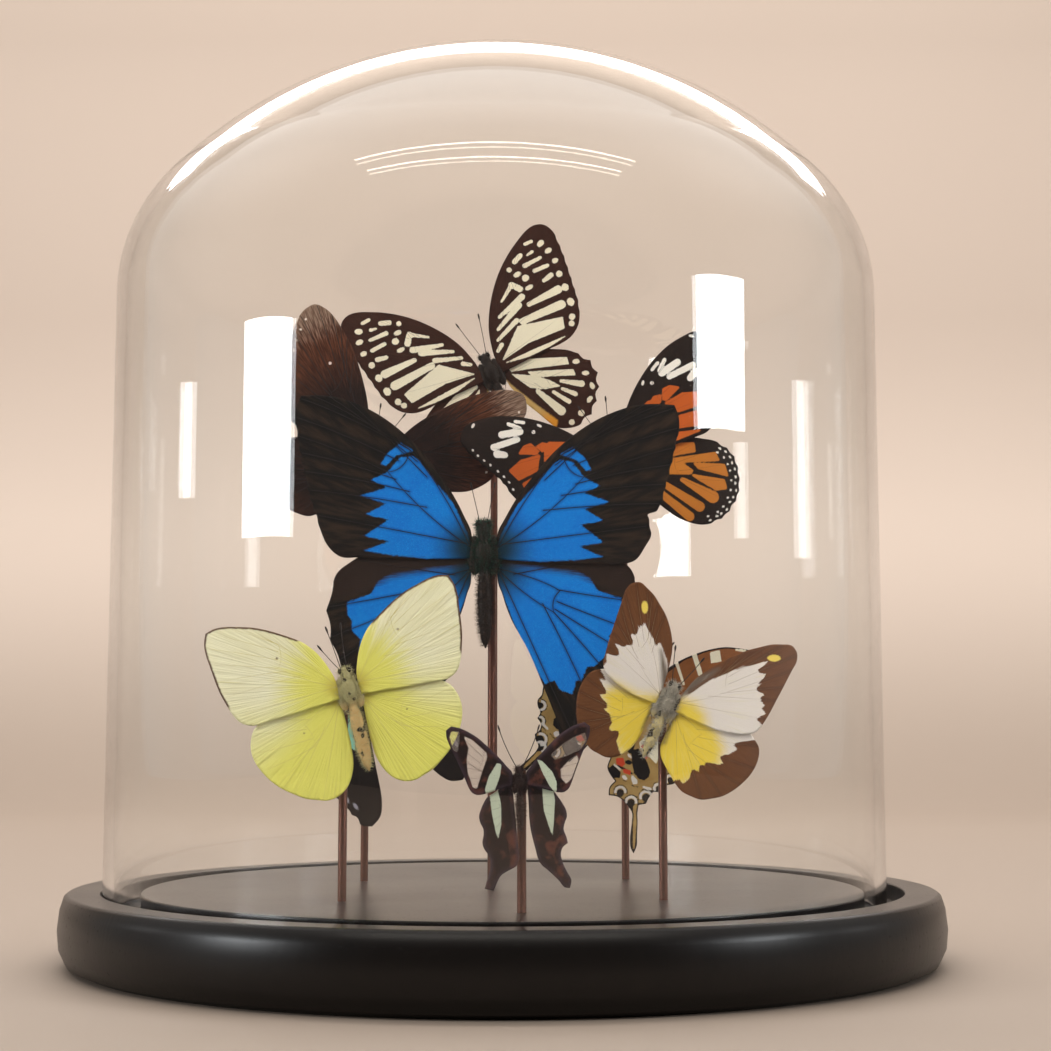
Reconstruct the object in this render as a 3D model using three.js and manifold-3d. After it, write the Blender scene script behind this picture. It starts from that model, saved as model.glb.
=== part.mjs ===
// Nine dried butterflies in a glass dome: a turned wooden base, a blown glass dome that stands in
// the base's channel, and seven thin copper-brown rods that carry the butterflies inside it.
// Millimetres, +Z up, front towards -Y, origin on the floor at the middle of the base.

import * as THREE from 'three';
import { mergeVertices } from 'three/addons/utils/BufferGeometryUtils.js';
import Module from 'manifold-3d';

const wasm = await Module();
wasm.setup();

// Driving dimensions of the base
const BASE_RADIUS = 125;
const BASE_HEIGHT = 20;
// The barrel side from the foot to the top edge, as [depth behind the widest radius, height]
const BASE_SIDE = [[6, 0], [2.4, 1.6], [0.5, 5.5], [0, 10.5], [0.6, 16], [1.4, 19], [2.6, BASE_HEIGHT]];
const CHANNEL_OUTER_RADIUS = 113.5;
const CHANNEL_INNER_RADIUS = 102.6;
const CHANNEL_DEPTH = 5;
const BASE_SIDES = 48;

// Driving dimensions of the dome
const DOME_RADIUS = 110.9;
const DOME_WALL = 3;
const DOME_TOP = 263.8;
const DOME_CROWN_RADIUS = 134.5;
const DOME_SHOULDER_RADIUS = 46;
const DOME_SHIFT_X = -2.3;
const DOME_SIDES = 36;
const CROWN_STEPS = 4;
const SHOULDER_STEPS = 4;

// Driving dimensions of the rods and of the holes that they stand in
const ROD_RADIUS = 1.15;
const ROD_SIDES = 8;
const ROD_HOLE_DEPTH = 8;
const GAP = 0.3;

// Driving dimensions that all the butterflies share
const WING_THICKNESS = 0.45;
// How far the middle of each plate lies above or below the middle of the body
const WING_LIFTS = { forewing: 0.6, hindwing: -0.3 };
const BODY_SIDES = 8;
const ANTENNA_RADIUS = 0.32;
const LEG_RADIUS = 0.3;
const LIMB_SIDES = 3;
// How many straight pieces an antenna, a leg and each drawn point of a wing's edge get
const ANTENNA_STEPS = 3;
const LEG_STEPS = 2;
const EDGE_DETAIL = 1.7;
// The body's half outline: for the abdomen as [share of its radius, share of the way to the tail],
// for the thorax and the head as [share of the thorax's radius, place along the body in such radii],
// counted from the middle of the thorax and from the middle of the head
const ABDOMEN_OUTLINE = [[0, 1], [0.6, 0.92], [0.95, 0.72], [1, 0.42]];
const THORAX_OUTLINE = [[0.45, -1.5], [0.92, -0.7], [1, 0.25], [0.55, 0.9]];
const HEAD_OUTLINE = [[0.62, -0.1], [0.4, 0.4], [0, 0.5]];
// Each pair of legs, in thorax radii: the hip, the knee and the foot along the body, then how far
// to the side and how far below the back they lie
const LEG_PAIRS = [[0.55, 1.05, 0.3], [0, -0.2, -1.1], [-0.5, -1.2, -2.2]];
const LEG_OUT = [0.45, 1.15, 0.75];
const LEG_DOWN = [0.6, 0.85, 0.95];
// An antenna's root, arch and tip: out as a share of the tip's way out or of the thorax's radius,
// and up in thorax radii
const ANTENNA_ROOT_OUT = 0.25;
const ANTENNA_ARCH_OUT = 0.62;
const ANTENNA_UP = { root: 0.3, arch: 0.5, tip: 0.35 };
// How far from the root a longer or shorter wing has its whole change
const REACH_BLEND = 5;

// Where each rod stands and how high its top lies; a rod's name says what it carries.
const RODS = {
  dragontail: { x: 5.3, y: -80, top: 55 },
  lemon_yellow: { x: -41.8, y: -48.5, top: 78 },
  brown_bordered_white: { x: 42.7, y: -44.4, top: 75 },
  blue_swallowtail: { x: -3.5, y: -3.7, top: 120 },
  crow_and_bluebottle: { x: -42, y: 18.9, top: 150 },
  tiger_and_swordtail: { x: 36.7, y: 25.8, top: 150 },
  zebra_swallowtail: { x: -3.9, y: 54.4, top: 185 },
};

// One entry for each butterfly. `at` is the middle of its thorax, `heading` the way its head points,
// counted from the viewer's right like a clock hand that runs backwards, and `underside` turns its
// belly to the front. Its own frame has X to its right, Y to its head and Z out of its back.
// A wing's edges run from the root along `lead` to the apex, down `outer` and back along `rear`.
// `spread` turns each wing in its plane, away from the head, and `raise` lifts its tip off the back.
// `reach` lengthens the wings of one side, and `own` holds the edges in which a single wing differs
// from its pair: the blue swallowtail's chipped right forewing, the dragontail's broken right tail
// and the swordtail's right hindwing, whose tail is bent inwards.
const BUTTERFLIES = [
  {
    name: 'blue_swallowtail',
    colour: 0x1f6fd0,
    at: [-5.7, -9, 116],
    heading: 91,
    raise: { left: 8, right: 8 },
    spread: { forewing: { left: -2.8, right: 2.2 }, hindwing: { left: 0.6, right: 0.9 } },
    body: { head: 7.5, tail: -28, thorax: 3.6, abdomen: 2.3 },
    antennae: { length: 13, open: 16 },
    forewing: {
      lead: [[3.9, 5], [8, 13.4], [14, 22], [22, 31], [33, 38.8], [45, 42.8], [54.5, 42.6]],
      outer: [[56, 38], [54.6, 28], [51.4, 15], [47.5, 4.5]],
      rear: [[43, -2.8], [34, -3.3], [19, -3.2], [3.9, -2.2]],
    },
    hindwing: {
      lead: [[3.9, 1.4], [17, 3.5], [31, 2], [42, -5]],
      outer: [[45.4, -13], [45, -23.5], [41.8, -32.5], [35, -39.5], [27.5, -44.5], [26, -50], [27.6, -57.5]],
      rear: [[24.6, -60.4], [22.2, -55], [21, -48.8], [17.8, -40.5], [12.8, -28.6], [7.6, -19], [3.9, -8]],
    },
    own: {
      forewing_right: {
        outer: [[56, 38], [54.6, 28], [52.4, 19], [50.6, 12.6], [47.4, 10.6], [48.6, 6], [46.8, 2]],
      },
    },
  },
  {
    name: 'zebra_swallowtail',
    colour: 0xd8c9a4,
    at: [-4.9, 49.5, 180],
    heading: 114.3,
    raise: { left: 6, right: 6 },
    spread: { forewing: { left: 1.2, right: -2.9 }, hindwing: { left: 0, right: -2.9 } },
    body: { head: 5.2, tail: -21, thorax: 3, abdomen: 1.8 },
    antennae: { length: 14.5, open: 16 },
    forewing: {
      lead: [[3.3, 3.6], [5, 10.8], [9, 18.4], [16, 26.6], [24, 32.4], [31, 35.6]],
      outer: [[36, 35.8], [38.8, 32], [38.9, 25.5], [37.6, 16.5], [36, 7.5]],
      rear: [[33, 1], [28, -2.2], [18, -2.2], [3.3, -2]],
    },
    hindwing: {
      lead: [[3.3, 1.2], [14, 1], [25, -5]],
      outer: [[30, -10.5], [30.8, -16], [28.2, -22], [23.7, -27]],
      rear: [[18, -28.8], [11, -26.2], [8, -20], [5, -13], [3.3, -6]],
    },
  },
  {
    name: 'brown_crow',
    colour: 0x4a2a1e,
    at: [-40.7, 14.2, 145.4],
    heading: 67.5,
    raise: { left: 6, right: -5 },
    spread: { forewing: { left: -2.2, right: -1.4 }, hindwing: { left: 0, right: 0 } },
    body: { head: 6.5, tail: -21, thorax: 3.2, abdomen: 2.2 },
    antennae: { length: 12, open: 20 },
    forewing: {
      lead: [[3.5, 4], [7.4, 14], [14, 23], [21.5, 30.6], [29, 35.4]],
      outer: [[35, 36.8], [38.2, 33], [38.6, 26.5], [37.4, 16.5], [35.8, 8.5]],
      rear: [[32, 3.6], [26, 0.6], [15, -1.2], [3.5, -1.6]],
    },
    hindwing: {
      lead: [[3.5, 1.6], [15, 2], [26, -3]],
      outer: [[30.5, -9], [29.8, -15.5], [25, -20.3], [18, -22.8]],
      rear: [[11, -22.4], [6, -16.5], [3.5, -7]],
    },
  },
  {
    name: 'orange_tiger',
    colour: 0xcf7a2a,
    at: [33.1, 21, 147.7],
    heading: 110,
    raise: { left: 15, right: 5 },
    spread: { forewing: { left: 8.8, right: 2.1 }, hindwing: { left: 5, right: 1 } },
    body: { head: 6, tail: -21, thorax: 3, abdomen: 1.9 },
    antennae: { length: 13.5, open: 19.5 },
    forewing: {
      lead: [[3.4, 3.8], [8, 12], [14, 19], [21.5, 24.8], [29, 28.2], [36, 29.2]],
      outer: [[40, 27], [40.6, 22.8], [38.4, 16.5], [35.7, 10], [34.4, 4]],
      rear: [[32, -0.8], [23, -2.1], [12, -2.2], [3.4, -2]],
    },
    hindwing: {
      lead: [[3.4, 1.2], [14, 1.2], [25, -2]],
      outer: [[32, -6], [35.3, -11], [35.2, -17.5], [32.5, -24], [27, -28.3]],
      rear: [[21, -29], [14.5, -25.5], [8.5, -17.5], [3.4, -7]],
    },
  },
  {
    name: 'lemon_yellow',
    colour: 0xdcd27a,
    at: [-40, -53, 75.2],
    heading: 104.4,
    raise: { left: 7, right: 7 },
    spread: { forewing: { left: 0.2, right: 1.6 }, hindwing: { left: 0.5, right: 2.8 } },
    body: { head: 4.8, tail: -22, thorax: 2.7, abdomen: 2.1 },
    antennae: { length: 13, open: 9 },
    forewing: {
      lead: [[2.9, 3.2], [4.4, 8.4], [7.8, 14], [13, 18], [20, 21.8], [27, 23.8]],
      outer: [[32, 23.7], [33.5, 20], [33.2, 13.5], [32.4, 7], [30.8, 1.5]],
      rear: [[28, -2.5], [20, -2.8], [11, -2.4], [2.9, -1.8]],
    },
    hindwing: {
      lead: [[2.9, 1], [12, 1], [21, -0.6]],
      outer: [[26.6, -4.2], [28.4, -10], [26.4, -16.2], [22.8, -20.8], [17.8, -24.6]],
      rear: [[11.5, -26.6], [7, -24.8], [3.8, -19.5], [2.9, -12]],
    },
  },
  {
    name: 'brown_bordered_white',
    colour: 0xcdb9a6,
    at: [43.8, -48.6, 71.9],
    heading: 66,
    raise: { left: 7, right: 7 },
    reach: { left: -2.4, right: 2.4 },
    spread: { forewing: { left: 1.1, right: -0.7 }, hindwing: { left: -1.2, right: 0.4 } },
    body: { head: 4.6, tail: -16, thorax: 2.6, abdomen: 1.7 },
    antennae: { length: 11, open: 22 },
    forewing: {
      lead: [[2.8, 3], [3.8, 8.4], [6.6, 14.6], [11.3, 20.6], [16.8, 24.8]],
      outer: [[22, 26.5], [24.2, 24.2], [24.1, 19.5], [23.7, 14], [23.2, 8]],
      rear: [[21.6, 1.6], [15, -1.2], [8, -1.7], [2.8, -1.4]],
    },
    hindwing: {
      lead: [[2.8, 1], [11, 2.6], [19.5, 2]],
      outer: [[24.2, -1.2], [25.2, -6.5], [23.6, -12], [20.3, -16.8], [15.8, -19.7]],
      rear: [[10.5, -19.8], [6.3, -16.8], [3.2, -12.5], [2.8, -6]],
    },
  },
  {
    name: 'dragontail',
    colour: 0x3a2420,
    at: [4.8, -83.2, 52],
    heading: 91,
    raise: { left: 4, right: 4 },
    spread: { forewing: { left: 0, right: -1.6 }, hindwing: { left: 4.3, right: -3 } },
    body: { head: 3, tail: -12, thorax: 1.5, abdomen: 1.05 },
    antennae: { length: 12, open: 25 },
    forewing: {
      lead: [[1.8, 2.2], [4.8, 5.8], [7.6, 8.6], [10.5, 11.2], [13.4, 12.9]],
      outer: [[16.8, 13.8], [17.9, 12.6], [17.2, 9.6], [15.7, 6.4], [13.8, 2]],
      rear: [[11.9, -2.2], [10.6, -3], [8.6, -2.8], [5.6, -1.9], [1.8, -1]],
    },
    hindwing: {
      lead: [[1.8, 0.6], [5.5, -1.6], [8.2, -3]],
      outer: [[9.6, -5], [10.7, -8], [9.8, -11], [10.4, -14.6], [9.2, -17], [8.9, -19.4], [10.8, -25]],
      rear: [[8.4, -25.6], [7.3, -22.8], [4.6, -21.2], [2.2, -19.8], [1.8, -13], [1.8, -5]],
    },
    own: {
      hindwing_right: {
        outer: [[9.8, -5.4], [11, -8.6], [9.9, -12], [10.7, -15.6], [9, -17], [9, -19.8], [10.9, -24.6]],
        rear: [[10, -27], [7.6, -24.2], [5.4, -21.9], [3.6, -20], [2.6, -16], [1.8, -11], [1.8, -5]],
      },
    },
  },
  {
    name: 'swordtail',
    colour: 0xb49155,
    underside: true,
    at: [39.5, 21.4, 76.5],
    heading: 59,
    raise: { left: -3, right: -3 },
    spread: { forewing: { left: -4, right: 0 }, hindwing: { left: 0, right: 0 } },
    body: { head: 5.4, tail: -19, thorax: 2.8, abdomen: 1.8 },
    antennae: { length: 14, open: 12 },
    forewing: {
      lead: [[3.1, 3.4], [6.6, 12], [12, 19], [19, 24.6], [26, 27]],
      outer: [[31.5, 26.4], [31.6, 21], [29, 13], [26.4, 5]],
      rear: [[23.5, -1.6], [15, -2], [3.1, -2]],
    },
    hindwing: {
      lead: [[3.1, 1.2], [13, 0.4], [21.5, -4.5]],
      outer: [
        [25, -11], [24.2, -17.9], [22.2, -20], [22.3, -21.6], [19.5, -23.8], [20.5, -26.8], [18.4, -28.5],
        [21.2, -34.2], [24, -39.4],
      ],
      rear: [
        [24.3, -42.2], [21.9, -39.8], [17.2, -31], [14.8, -30.7], [12.6, -29.5], [9.3, -31], [8.1, -28.3],
        [8.6, -26], [5.1, -24.8], [3.6, -18], [3.1, -9],
      ],
    },
    own: {
      hindwing_right: {
        outer: [
          [25, -11], [23.6, -16], [23.9, -18.2], [21.3, -20.4], [21.4, -22], [18.7, -23.8], [19.4, -27.4],
          [16.9, -28.8], [16.5, -31], [17.4, -34.5], [18.8, -39],
        ],
        rear: [
          [18.1, -41], [16.4, -38.6], [14.2, -30.9], [12.6, -29.5], [9.3, -31], [8.1, -28.3],
          [8.6, -26], [5.1, -24.8], [3.6, -18], [3.1, -9],
        ],
      },
    },
  },
  {
    name: 'bluebottle',
    colour: 0x4f8f86,
    at: [-41.4, 14.5, 73.6],
    heading: 117,
    raise: { left: 3, right: 3 },
    spread: { forewing: { left: -5, right: 5 }, hindwing: { left: -2, right: -2 } },
    body: { head: 5.4, tail: -18, thorax: 2.9, abdomen: 1.8 },
    antennae: { length: 17, open: 20 },
    forewing: {
      lead: [[3.2, 3.4], [8, 11], [15.5, 17.6], [23, 21.6]],
      outer: [[29, 22.6], [30, 18.6], [27.8, 11.4], [26.4, 4]],
      rear: [[25.6, -3.4], [17, -2.8], [9, -2.3], [3.2, -2]],
    },
    hindwing: {
      lead: [[3.2, 1.2], [11, 0.4], [18, -5]],
      outer: [[21.8, -12], [21.2, -18.5], [20, -24.5], [17.8, -29.5]],
      rear: [[15.4, -34.6], [10.4, -33], [7.8, -28], [5.8, -20], [3.2, -9]],
    },
  },
];

const scene = new THREE.Group();

function addMesh(parent, name, geometry, colour, roughness, metalness) {
  const material = new THREE.MeshStandardMaterial({ color: colour, roughness, metalness });
  const mesh = new THREE.Mesh(geometry, material);
  mesh.name = name;
  parent.add(mesh);
  return mesh;
}

// Boolean helpers: a closed three.js geometry becomes a solid and comes back as a geometry.
function toSolid(geometry) {
  const bare = geometry.clone();
  bare.deleteAttribute('normal');
  bare.deleteAttribute('uv');
  const merged = mergeVertices(bare, 1e-4);
  return new wasm.Manifold(new wasm.Mesh({
    numProp: 3,
    vertProperties: new Float32Array(merged.attributes.position.array),
    triVerts: new Uint32Array(merged.index.array),
  }));
}

function toGeometry(solid) {
  const mesh = solid.getMesh();
  const geometry = new THREE.BufferGeometry();
  geometry.setAttribute('position', new THREE.BufferAttribute(mesh.vertProperties, 3));
  geometry.setIndex(new THREE.BufferAttribute(mesh.triVerts, 1));
  geometry.computeVertexNormals();
  return geometry;
}

// A profile of [radius, height] points turned about Z
function turned(profile, sides) {
  const points = profile.map(([radius, height]) => new THREE.Vector2(radius, height));
  return new THREE.LatheGeometry(points, sides).rotateX(Math.PI / 2);
}

// A thin limb along a curve of 3-D points, with closed ends
function limb(points, radius, sides, steps) {
  const section = new THREE.Shape();
  for (let i = 0; i < sides; i += 1) {
    const angle = (2 * Math.PI * i) / sides;
    const x = radius * Math.cos(angle);
    const y = radius * Math.sin(angle);
    if (i === 0) section.moveTo(x, y);
    else section.lineTo(x, y);
  }
  const path = new THREE.CatmullRomCurve3(points.map((p) => new THREE.Vector3(...p)));
  return new THREE.ExtrudeGeometry(section, { steps, extrudePath: path, bevelEnabled: false });
}

// Base: flat foot, barrel-rounded side, flat rim, the dome's channel and a flush middle disc
function makeBase() {
  const floor = BASE_HEIGHT - CHANNEL_DEPTH;
  const profile = [
    [0, 0],
    ...BASE_SIDE.map(([depth, height]) => [BASE_RADIUS - depth, height]),
    [CHANNEL_OUTER_RADIUS, BASE_HEIGHT],
    [CHANNEL_OUTER_RADIUS, floor],
    [CHANNEL_INNER_RADIUS, floor],
    [CHANNEL_INNER_RADIUS, BASE_HEIGHT],
    [0, BASE_HEIGHT],
  ];
  let solid = toSolid(turned(profile, BASE_SIDES));
  for (const rod of Object.values(RODS)) {
    const hole = new THREE.CylinderGeometry(
      ROD_RADIUS + GAP, ROD_RADIUS + GAP, ROD_HOLE_DEPTH * 2, ROD_SIDES,
    ).rotateX(Math.PI / 2).translate(rod.x, rod.y, BASE_HEIGHT);
    solid = solid.subtract(toSolid(hole));
  }
  addMesh(scene, 'base', toGeometry(solid), 0x14100e, 0.35, 0);
}

// Dome: a straight wall, a round shoulder and a flatter crown, of one wall thickness
function domeProfile(inset) {
  const shoulder = DOME_SHOULDER_RADIUS;
  const crown = DOME_CROWN_RADIUS;
  const shoulderX = DOME_RADIUS - shoulder;
  const crownZ = DOME_TOP - crown;
  const shoulderZ = crownZ + Math.sqrt((crown - shoulder) ** 2 - shoulderX ** 2);
  const join = Math.asin(shoulderX / (crown - shoulder));
  const points = [];
  for (let i = 0; i <= CROWN_STEPS; i += 1) {
    const angle = (join * i) / CROWN_STEPS;
    const radius = crown - inset;
    points.push([radius * Math.sin(angle), crownZ + radius * Math.cos(angle)]);
  }
  for (let i = 1; i <= SHOULDER_STEPS; i += 1) {
    const angle = join + ((Math.PI / 2 - join) * i) / SHOULDER_STEPS;
    const radius = shoulder - inset;
    points.push([shoulderX + radius * Math.sin(angle), shoulderZ + radius * Math.cos(angle)]);
  }
  points.push([DOME_RADIUS - inset, BASE_HEIGHT - CHANNEL_DEPTH]);
  return points;
}

function makeDome() {
  const profile = [...domeProfile(DOME_WALL), ...domeProfile(0).reverse()];
  const dome = addMesh(scene, 'glass_dome', turned(profile, DOME_SIDES), 0xe8eeec, 0.03, 0);
  dome.position.x = DOME_SHIFT_X;
}

// Rods: each one stands in a blind hole of the disc and ends behind its upper butterfly
function makeRods() {
  const bottom = BASE_HEIGHT - ROD_HOLE_DEPTH;
  for (const [name, rod] of Object.entries(RODS)) {
    const length = rod.top - bottom;
    const shaft = new THREE.CylinderGeometry(ROD_RADIUS, ROD_RADIUS, length, ROD_SIDES).rotateX(Math.PI / 2);
    const mesh = addMesh(scene, `${name}_rod`, shaft, 0x7a4a30, 0.4, 0.7);
    mesh.position.set(rod.x, rod.y, bottom + length / 2);
  }
}

// Wing: one thin plate whose three edges are smooth curves
function wingPlate(wing, side) {
  const apex = wing.lead[wing.lead.length - 1];
  const tornus = wing.outer[wing.outer.length - 1];
  const edges = [wing.lead, [apex, ...wing.outer], [tornus, ...wing.rear]];
  const shape = new THREE.Shape();
  edges.forEach((edge, index) => {
    const curve = new THREE.CatmullRomCurve3(edge.map(([x, y]) => new THREE.Vector3(side * x, y, 0)));
    const steps = Math.round(edge.length * EDGE_DETAIL);
    curve.getSpacedPoints(steps).forEach((point, i) => {
      if (index === 0 && i === 0) shape.moveTo(point.x, point.y);
      else if (i > 0) shape.lineTo(point.x, point.y);
    });
  });
  const plate = new THREE.ExtrudeGeometry(shape, { depth: WING_THICKNESS, bevelEnabled: false });
  return plate.translate(0, 0, -WING_THICKNESS / 2);
}

// Body: abdomen, waist, thorax and head turned about the body's axis, with antennae and folded legs
function makeBody({ body, antennae }) {
  const { head, tail, thorax, abdomen } = body;
  const points = [
    ...ABDOMEN_OUTLINE.map(([radius, along]) => new THREE.Vector2(radius * abdomen, along * tail)),
    ...THORAX_OUTLINE.map(([radius, along]) => new THREE.Vector2(radius * thorax, along * thorax)),
    ...HEAD_OUTLINE.map(([radius, along]) => new THREE.Vector2(radius * thorax, head + along * thorax)),
  ];
  let solid = toSolid(new THREE.LatheGeometry(points, BODY_SIDES));
  for (const side of [-1, 1]) {
    solid = solid.add(toSolid(makeAntenna(side, body, antennae)));
    for (const pair of LEG_PAIRS) {
      const joints = pair.map((along, i) => [side * LEG_OUT[i], along, -LEG_DOWN[i]]);
      const leg = joints.map((joint) => joint.map((value) => value * thorax));
      solid = solid.add(toSolid(limb(leg, LEG_RADIUS, LIMB_SIDES, LEG_STEPS)));
    }
  }
  return toGeometry(solid);
}

// Antenna: a slightly arched feeler from the top of the head
function makeAntenna(side, { head, thorax }, { length, open }) {
  const angle = THREE.MathUtils.degToRad(open);
  const out = side * length * Math.sin(angle);
  const end = head + length * Math.cos(angle);
  const root = [side * thorax * ANTENNA_ROOT_OUT, head, thorax * ANTENNA_UP.root];
  const arch = [out * ANTENNA_ARCH_OUT, (head + end) / 2, thorax * ANTENNA_UP.arch];
  const tip = [out, end, thorax * ANTENNA_UP.tip];
  return limb([root, arch, tip], ANTENNA_RADIUS, LIMB_SIDES, ANTENNA_STEPS);
}

// A wing's three edges with what one specimen's own wing changes in them
function ownWing(spec, wingName, sideName) {
  const wing = { ...spec[wingName], ...spec.own?.[`${wingName}_${sideName}`] };
  const reach = spec.reach?.[sideName] ?? 0;
  const root = wing.lead[0][0];
  const longer = ([x, y]) => [x + reach * Math.min(1, (x - root) / REACH_BLEND), y];
  return { lead: wing.lead.map(longer), outer: wing.outer.map(longer), rear: wing.rear.map(longer) };
}

function makeButterfly(spec) {
  const facing = new THREE.Group();
  facing.position.set(...spec.at);
  facing.rotation.x = Math.PI / 2;
  scene.add(facing);
  const turn = new THREE.Group();
  turn.rotation.z = THREE.MathUtils.degToRad(spec.heading - 90);
  facing.add(turn);
  const insect = new THREE.Group();
  insect.rotation.y = spec.underside ? Math.PI : 0;
  turn.add(insect);
  addMesh(insect, `${spec.name}_body`, makeBody(spec), 0x2c2019, 0.85, 0);
  for (const [sideName, side] of [['left', -1], ['right', 1]]) {
    const hinge = new THREE.Group();
    hinge.rotation.y = -side * THREE.MathUtils.degToRad(spec.raise[sideName]);
    insect.add(hinge);
    for (const [wingName, lift] of Object.entries(WING_LIFTS)) {
      const name = `${spec.name}_${wingName}_${sideName}`;
      const plate = wingPlate(ownWing(spec, wingName, sideName), side);
      const mesh = addMesh(hinge, name, plate, spec.colour, 0.8, 0);
      mesh.position.z = lift;
      mesh.rotation.z = -side * THREE.MathUtils.degToRad(spec.spread[wingName][sideName]);
    }
  }
}

makeBase();
makeDome();
makeRods();
BUTTERFLIES.forEach(makeButterfly);

export default scene;
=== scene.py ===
from math import cos, pi, radians, sin

import bmesh
import bpy
import numpy as np
from mathutils import Matrix, Vector
from mathutils.geometry import delaunay_2d_cdt


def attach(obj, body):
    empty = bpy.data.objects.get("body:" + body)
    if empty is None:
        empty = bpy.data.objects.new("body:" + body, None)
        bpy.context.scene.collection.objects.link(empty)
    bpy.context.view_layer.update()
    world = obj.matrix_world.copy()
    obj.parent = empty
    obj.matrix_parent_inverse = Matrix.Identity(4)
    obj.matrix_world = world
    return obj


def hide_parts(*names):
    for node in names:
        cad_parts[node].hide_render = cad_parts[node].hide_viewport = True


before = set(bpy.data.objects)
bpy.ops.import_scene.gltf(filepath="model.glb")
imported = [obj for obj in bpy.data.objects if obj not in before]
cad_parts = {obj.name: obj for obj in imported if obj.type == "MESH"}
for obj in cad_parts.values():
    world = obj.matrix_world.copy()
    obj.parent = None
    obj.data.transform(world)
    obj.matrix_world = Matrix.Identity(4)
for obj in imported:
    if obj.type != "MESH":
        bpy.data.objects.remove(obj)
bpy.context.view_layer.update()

MM = 0.001

# ---------------------------------------------------------------------------------------------
# Camera: a little above the base, looking slightly up at the middle of the dome.
CAMERA_LENS = 64.05
CAMERA_SENSOR = 36
CAMERA_PLACE = (6.3 * MM, -548 * MM, 64 * MM)
CAMERA_PITCH = 96.32
camera = bpy.data.objects.new("camera", bpy.data.cameras.new("camera"))
camera.data.lens = CAMERA_LENS
camera.data.sensor_width = CAMERA_SENSOR
camera.data.clip_start = 20 * MM
camera.location = CAMERA_PLACE
camera.rotation_euler = (radians(CAMERA_PITCH), 0, 0)
bpy.context.scene.collection.objects.link(camera)
bpy.context.scene.camera = camera


# ---------------------------------------------------------------------------------------------
# Studio: a seamless pale warm sweep of painted board, one soft sky and a few diffused panels.
class Value:
    """A number in a material that varies over the surface; arithmetic on it adds Math nodes."""

    def __init__(self, finish, socket):
        self.finish = finish
        self.socket = socket

    def _math(self, operation, a, b):
        return self.finish.node("ShaderNodeMath", {"operation": operation}, {0: a, 1: b})

    def __add__(self, other):
        return self._math("ADD", self, other)

    def __sub__(self, other):
        return self._math("SUBTRACT", self, other)

    def __mul__(self, other):
        return self._math("MULTIPLY", self, other)

    def __rsub__(self, other):
        return self._math("SUBTRACT", other, self)

    __radd__ = __add__
    __rmul__ = __mul__


class Finish:
    """One material, made node by node around a Principled shader."""

    def __init__(self, name, **constants):
        self.material = bpy.data.materials.new(name)
        self.material.use_nodes = True
        self.tree = self.material.node_tree
        self.shader = self.tree.nodes["Principled BSDF"]
        self.coordinates = self.tree.nodes.new("ShaderNodeTexCoord").outputs["Object"]
        for socket, value in constants.items():
            self.shader.inputs[socket.replace("_", " ")].default_value = value

    def node(self, kind, settings, inputs, output=0):
        made = self.tree.nodes.new(kind)
        for key, value in settings.items():
            if key == "stops":
                ramp = made.color_ramp.elements
                while len(ramp) < len(value):
                    ramp.new(0.5)
                for stop, (place, colour) in zip(ramp, value):
                    stop.position = place
                    stop.color = (*colour, 1)
            else:
                setattr(made, key, value)
        for key, value in inputs.items():
            if isinstance(value, Value):
                self.tree.links.new(value.socket, made.inputs[key])
            elif isinstance(value, bpy.types.NodeSocket):
                self.tree.links.new(value, made.inputs[key])
            else:
                made.inputs[key].default_value = value
        return Value(self, made.outputs[output])

    def noise(self, scale, detail=3.0, stretch=None):
        place = self.coordinates
        if stretch:
            place = self.node("ShaderNodeMapping", {}, {"Vector": place, "Scale": stretch})
        return self.node("ShaderNodeTexNoise", {}, {"Vector": place, "Scale": scale, "Detail": detail})

    def attribute(self, name):
        return self.node("ShaderNodeAttribute", {"attribute_name": name}, {}, "Fac")

    def fan(self, across, along, detail=3.0):
        """Noise drawn out along the lines that run from the wing's root to its edge."""
        parts = {0: self.attribute("fan") * across, 1: self.attribute("reach") * along}
        place = self.node("ShaderNodeCombineXYZ", {}, parts)
        return self.node("ShaderNodeTexNoise", {}, {"Vector": place, "Scale": 1.0, "Detail": detail})

    def smooth(self, value, low, high):
        inputs = {"Value": value, "From Min": low, "From Max": high}
        return self.node("ShaderNodeMapRange", {"interpolation_type": "SMOOTHSTEP"}, inputs)

    def mark(self, name, ragged, soft=0.15):
        """1 inside a marking of the wing and 0 outside it, across a ragged and soft edge."""
        return self.smooth(self.attribute(name) + ragged, soft, -soft)

    def mix(self, factor, first, second):
        colours = {6: first, 7: second}
        for key, value in colours.items():
            if isinstance(value, tuple):
                colours[key] = (*value, 1)
        return self.node("ShaderNodeMix", {"data_type": "RGBA"}, {0: factor, **colours}, 2)

    def ridged(self, across, dust, share, strength, distance):
        """Bump from fine ridges that run out from the wing's root, and from scale dust."""
        return self.bump(self.fan(across, 0.2) + share * dust, strength, distance)

    def bump(self, height, strength, distance):
        inputs = {"Height": height, "Strength": strength, "Distance": distance}
        return self.node("ShaderNodeBump", {}, inputs)

    def wear(self, **sockets):
        for socket, value in sockets.items():
            self.tree.links.new(value.socket, self.shader.inputs[socket.replace("_", " ")])
        return self.material


def tone(red, green, blue):
    """A colour named by its 0-255 screen values, as the linear values that materials use."""
    return tuple(((c / 255 + 0.055) / 1.055) ** 2.4 if c > 10 else c / 3295 for c in (red, green, blue))


def new_object(name, verts, faces, material, smooth=True):
    mesh = bpy.data.meshes.new(name)
    mesh.from_pydata([tuple(v) for v in verts], [], [tuple(f) for f in faces])
    mesh.materials.append(material)
    if smooth:
        mesh.shade_smooth()
    mesh.update()
    made = bpy.data.objects.new(name, mesh)
    bpy.context.scene.collection.objects.link(made)
    return made


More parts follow.
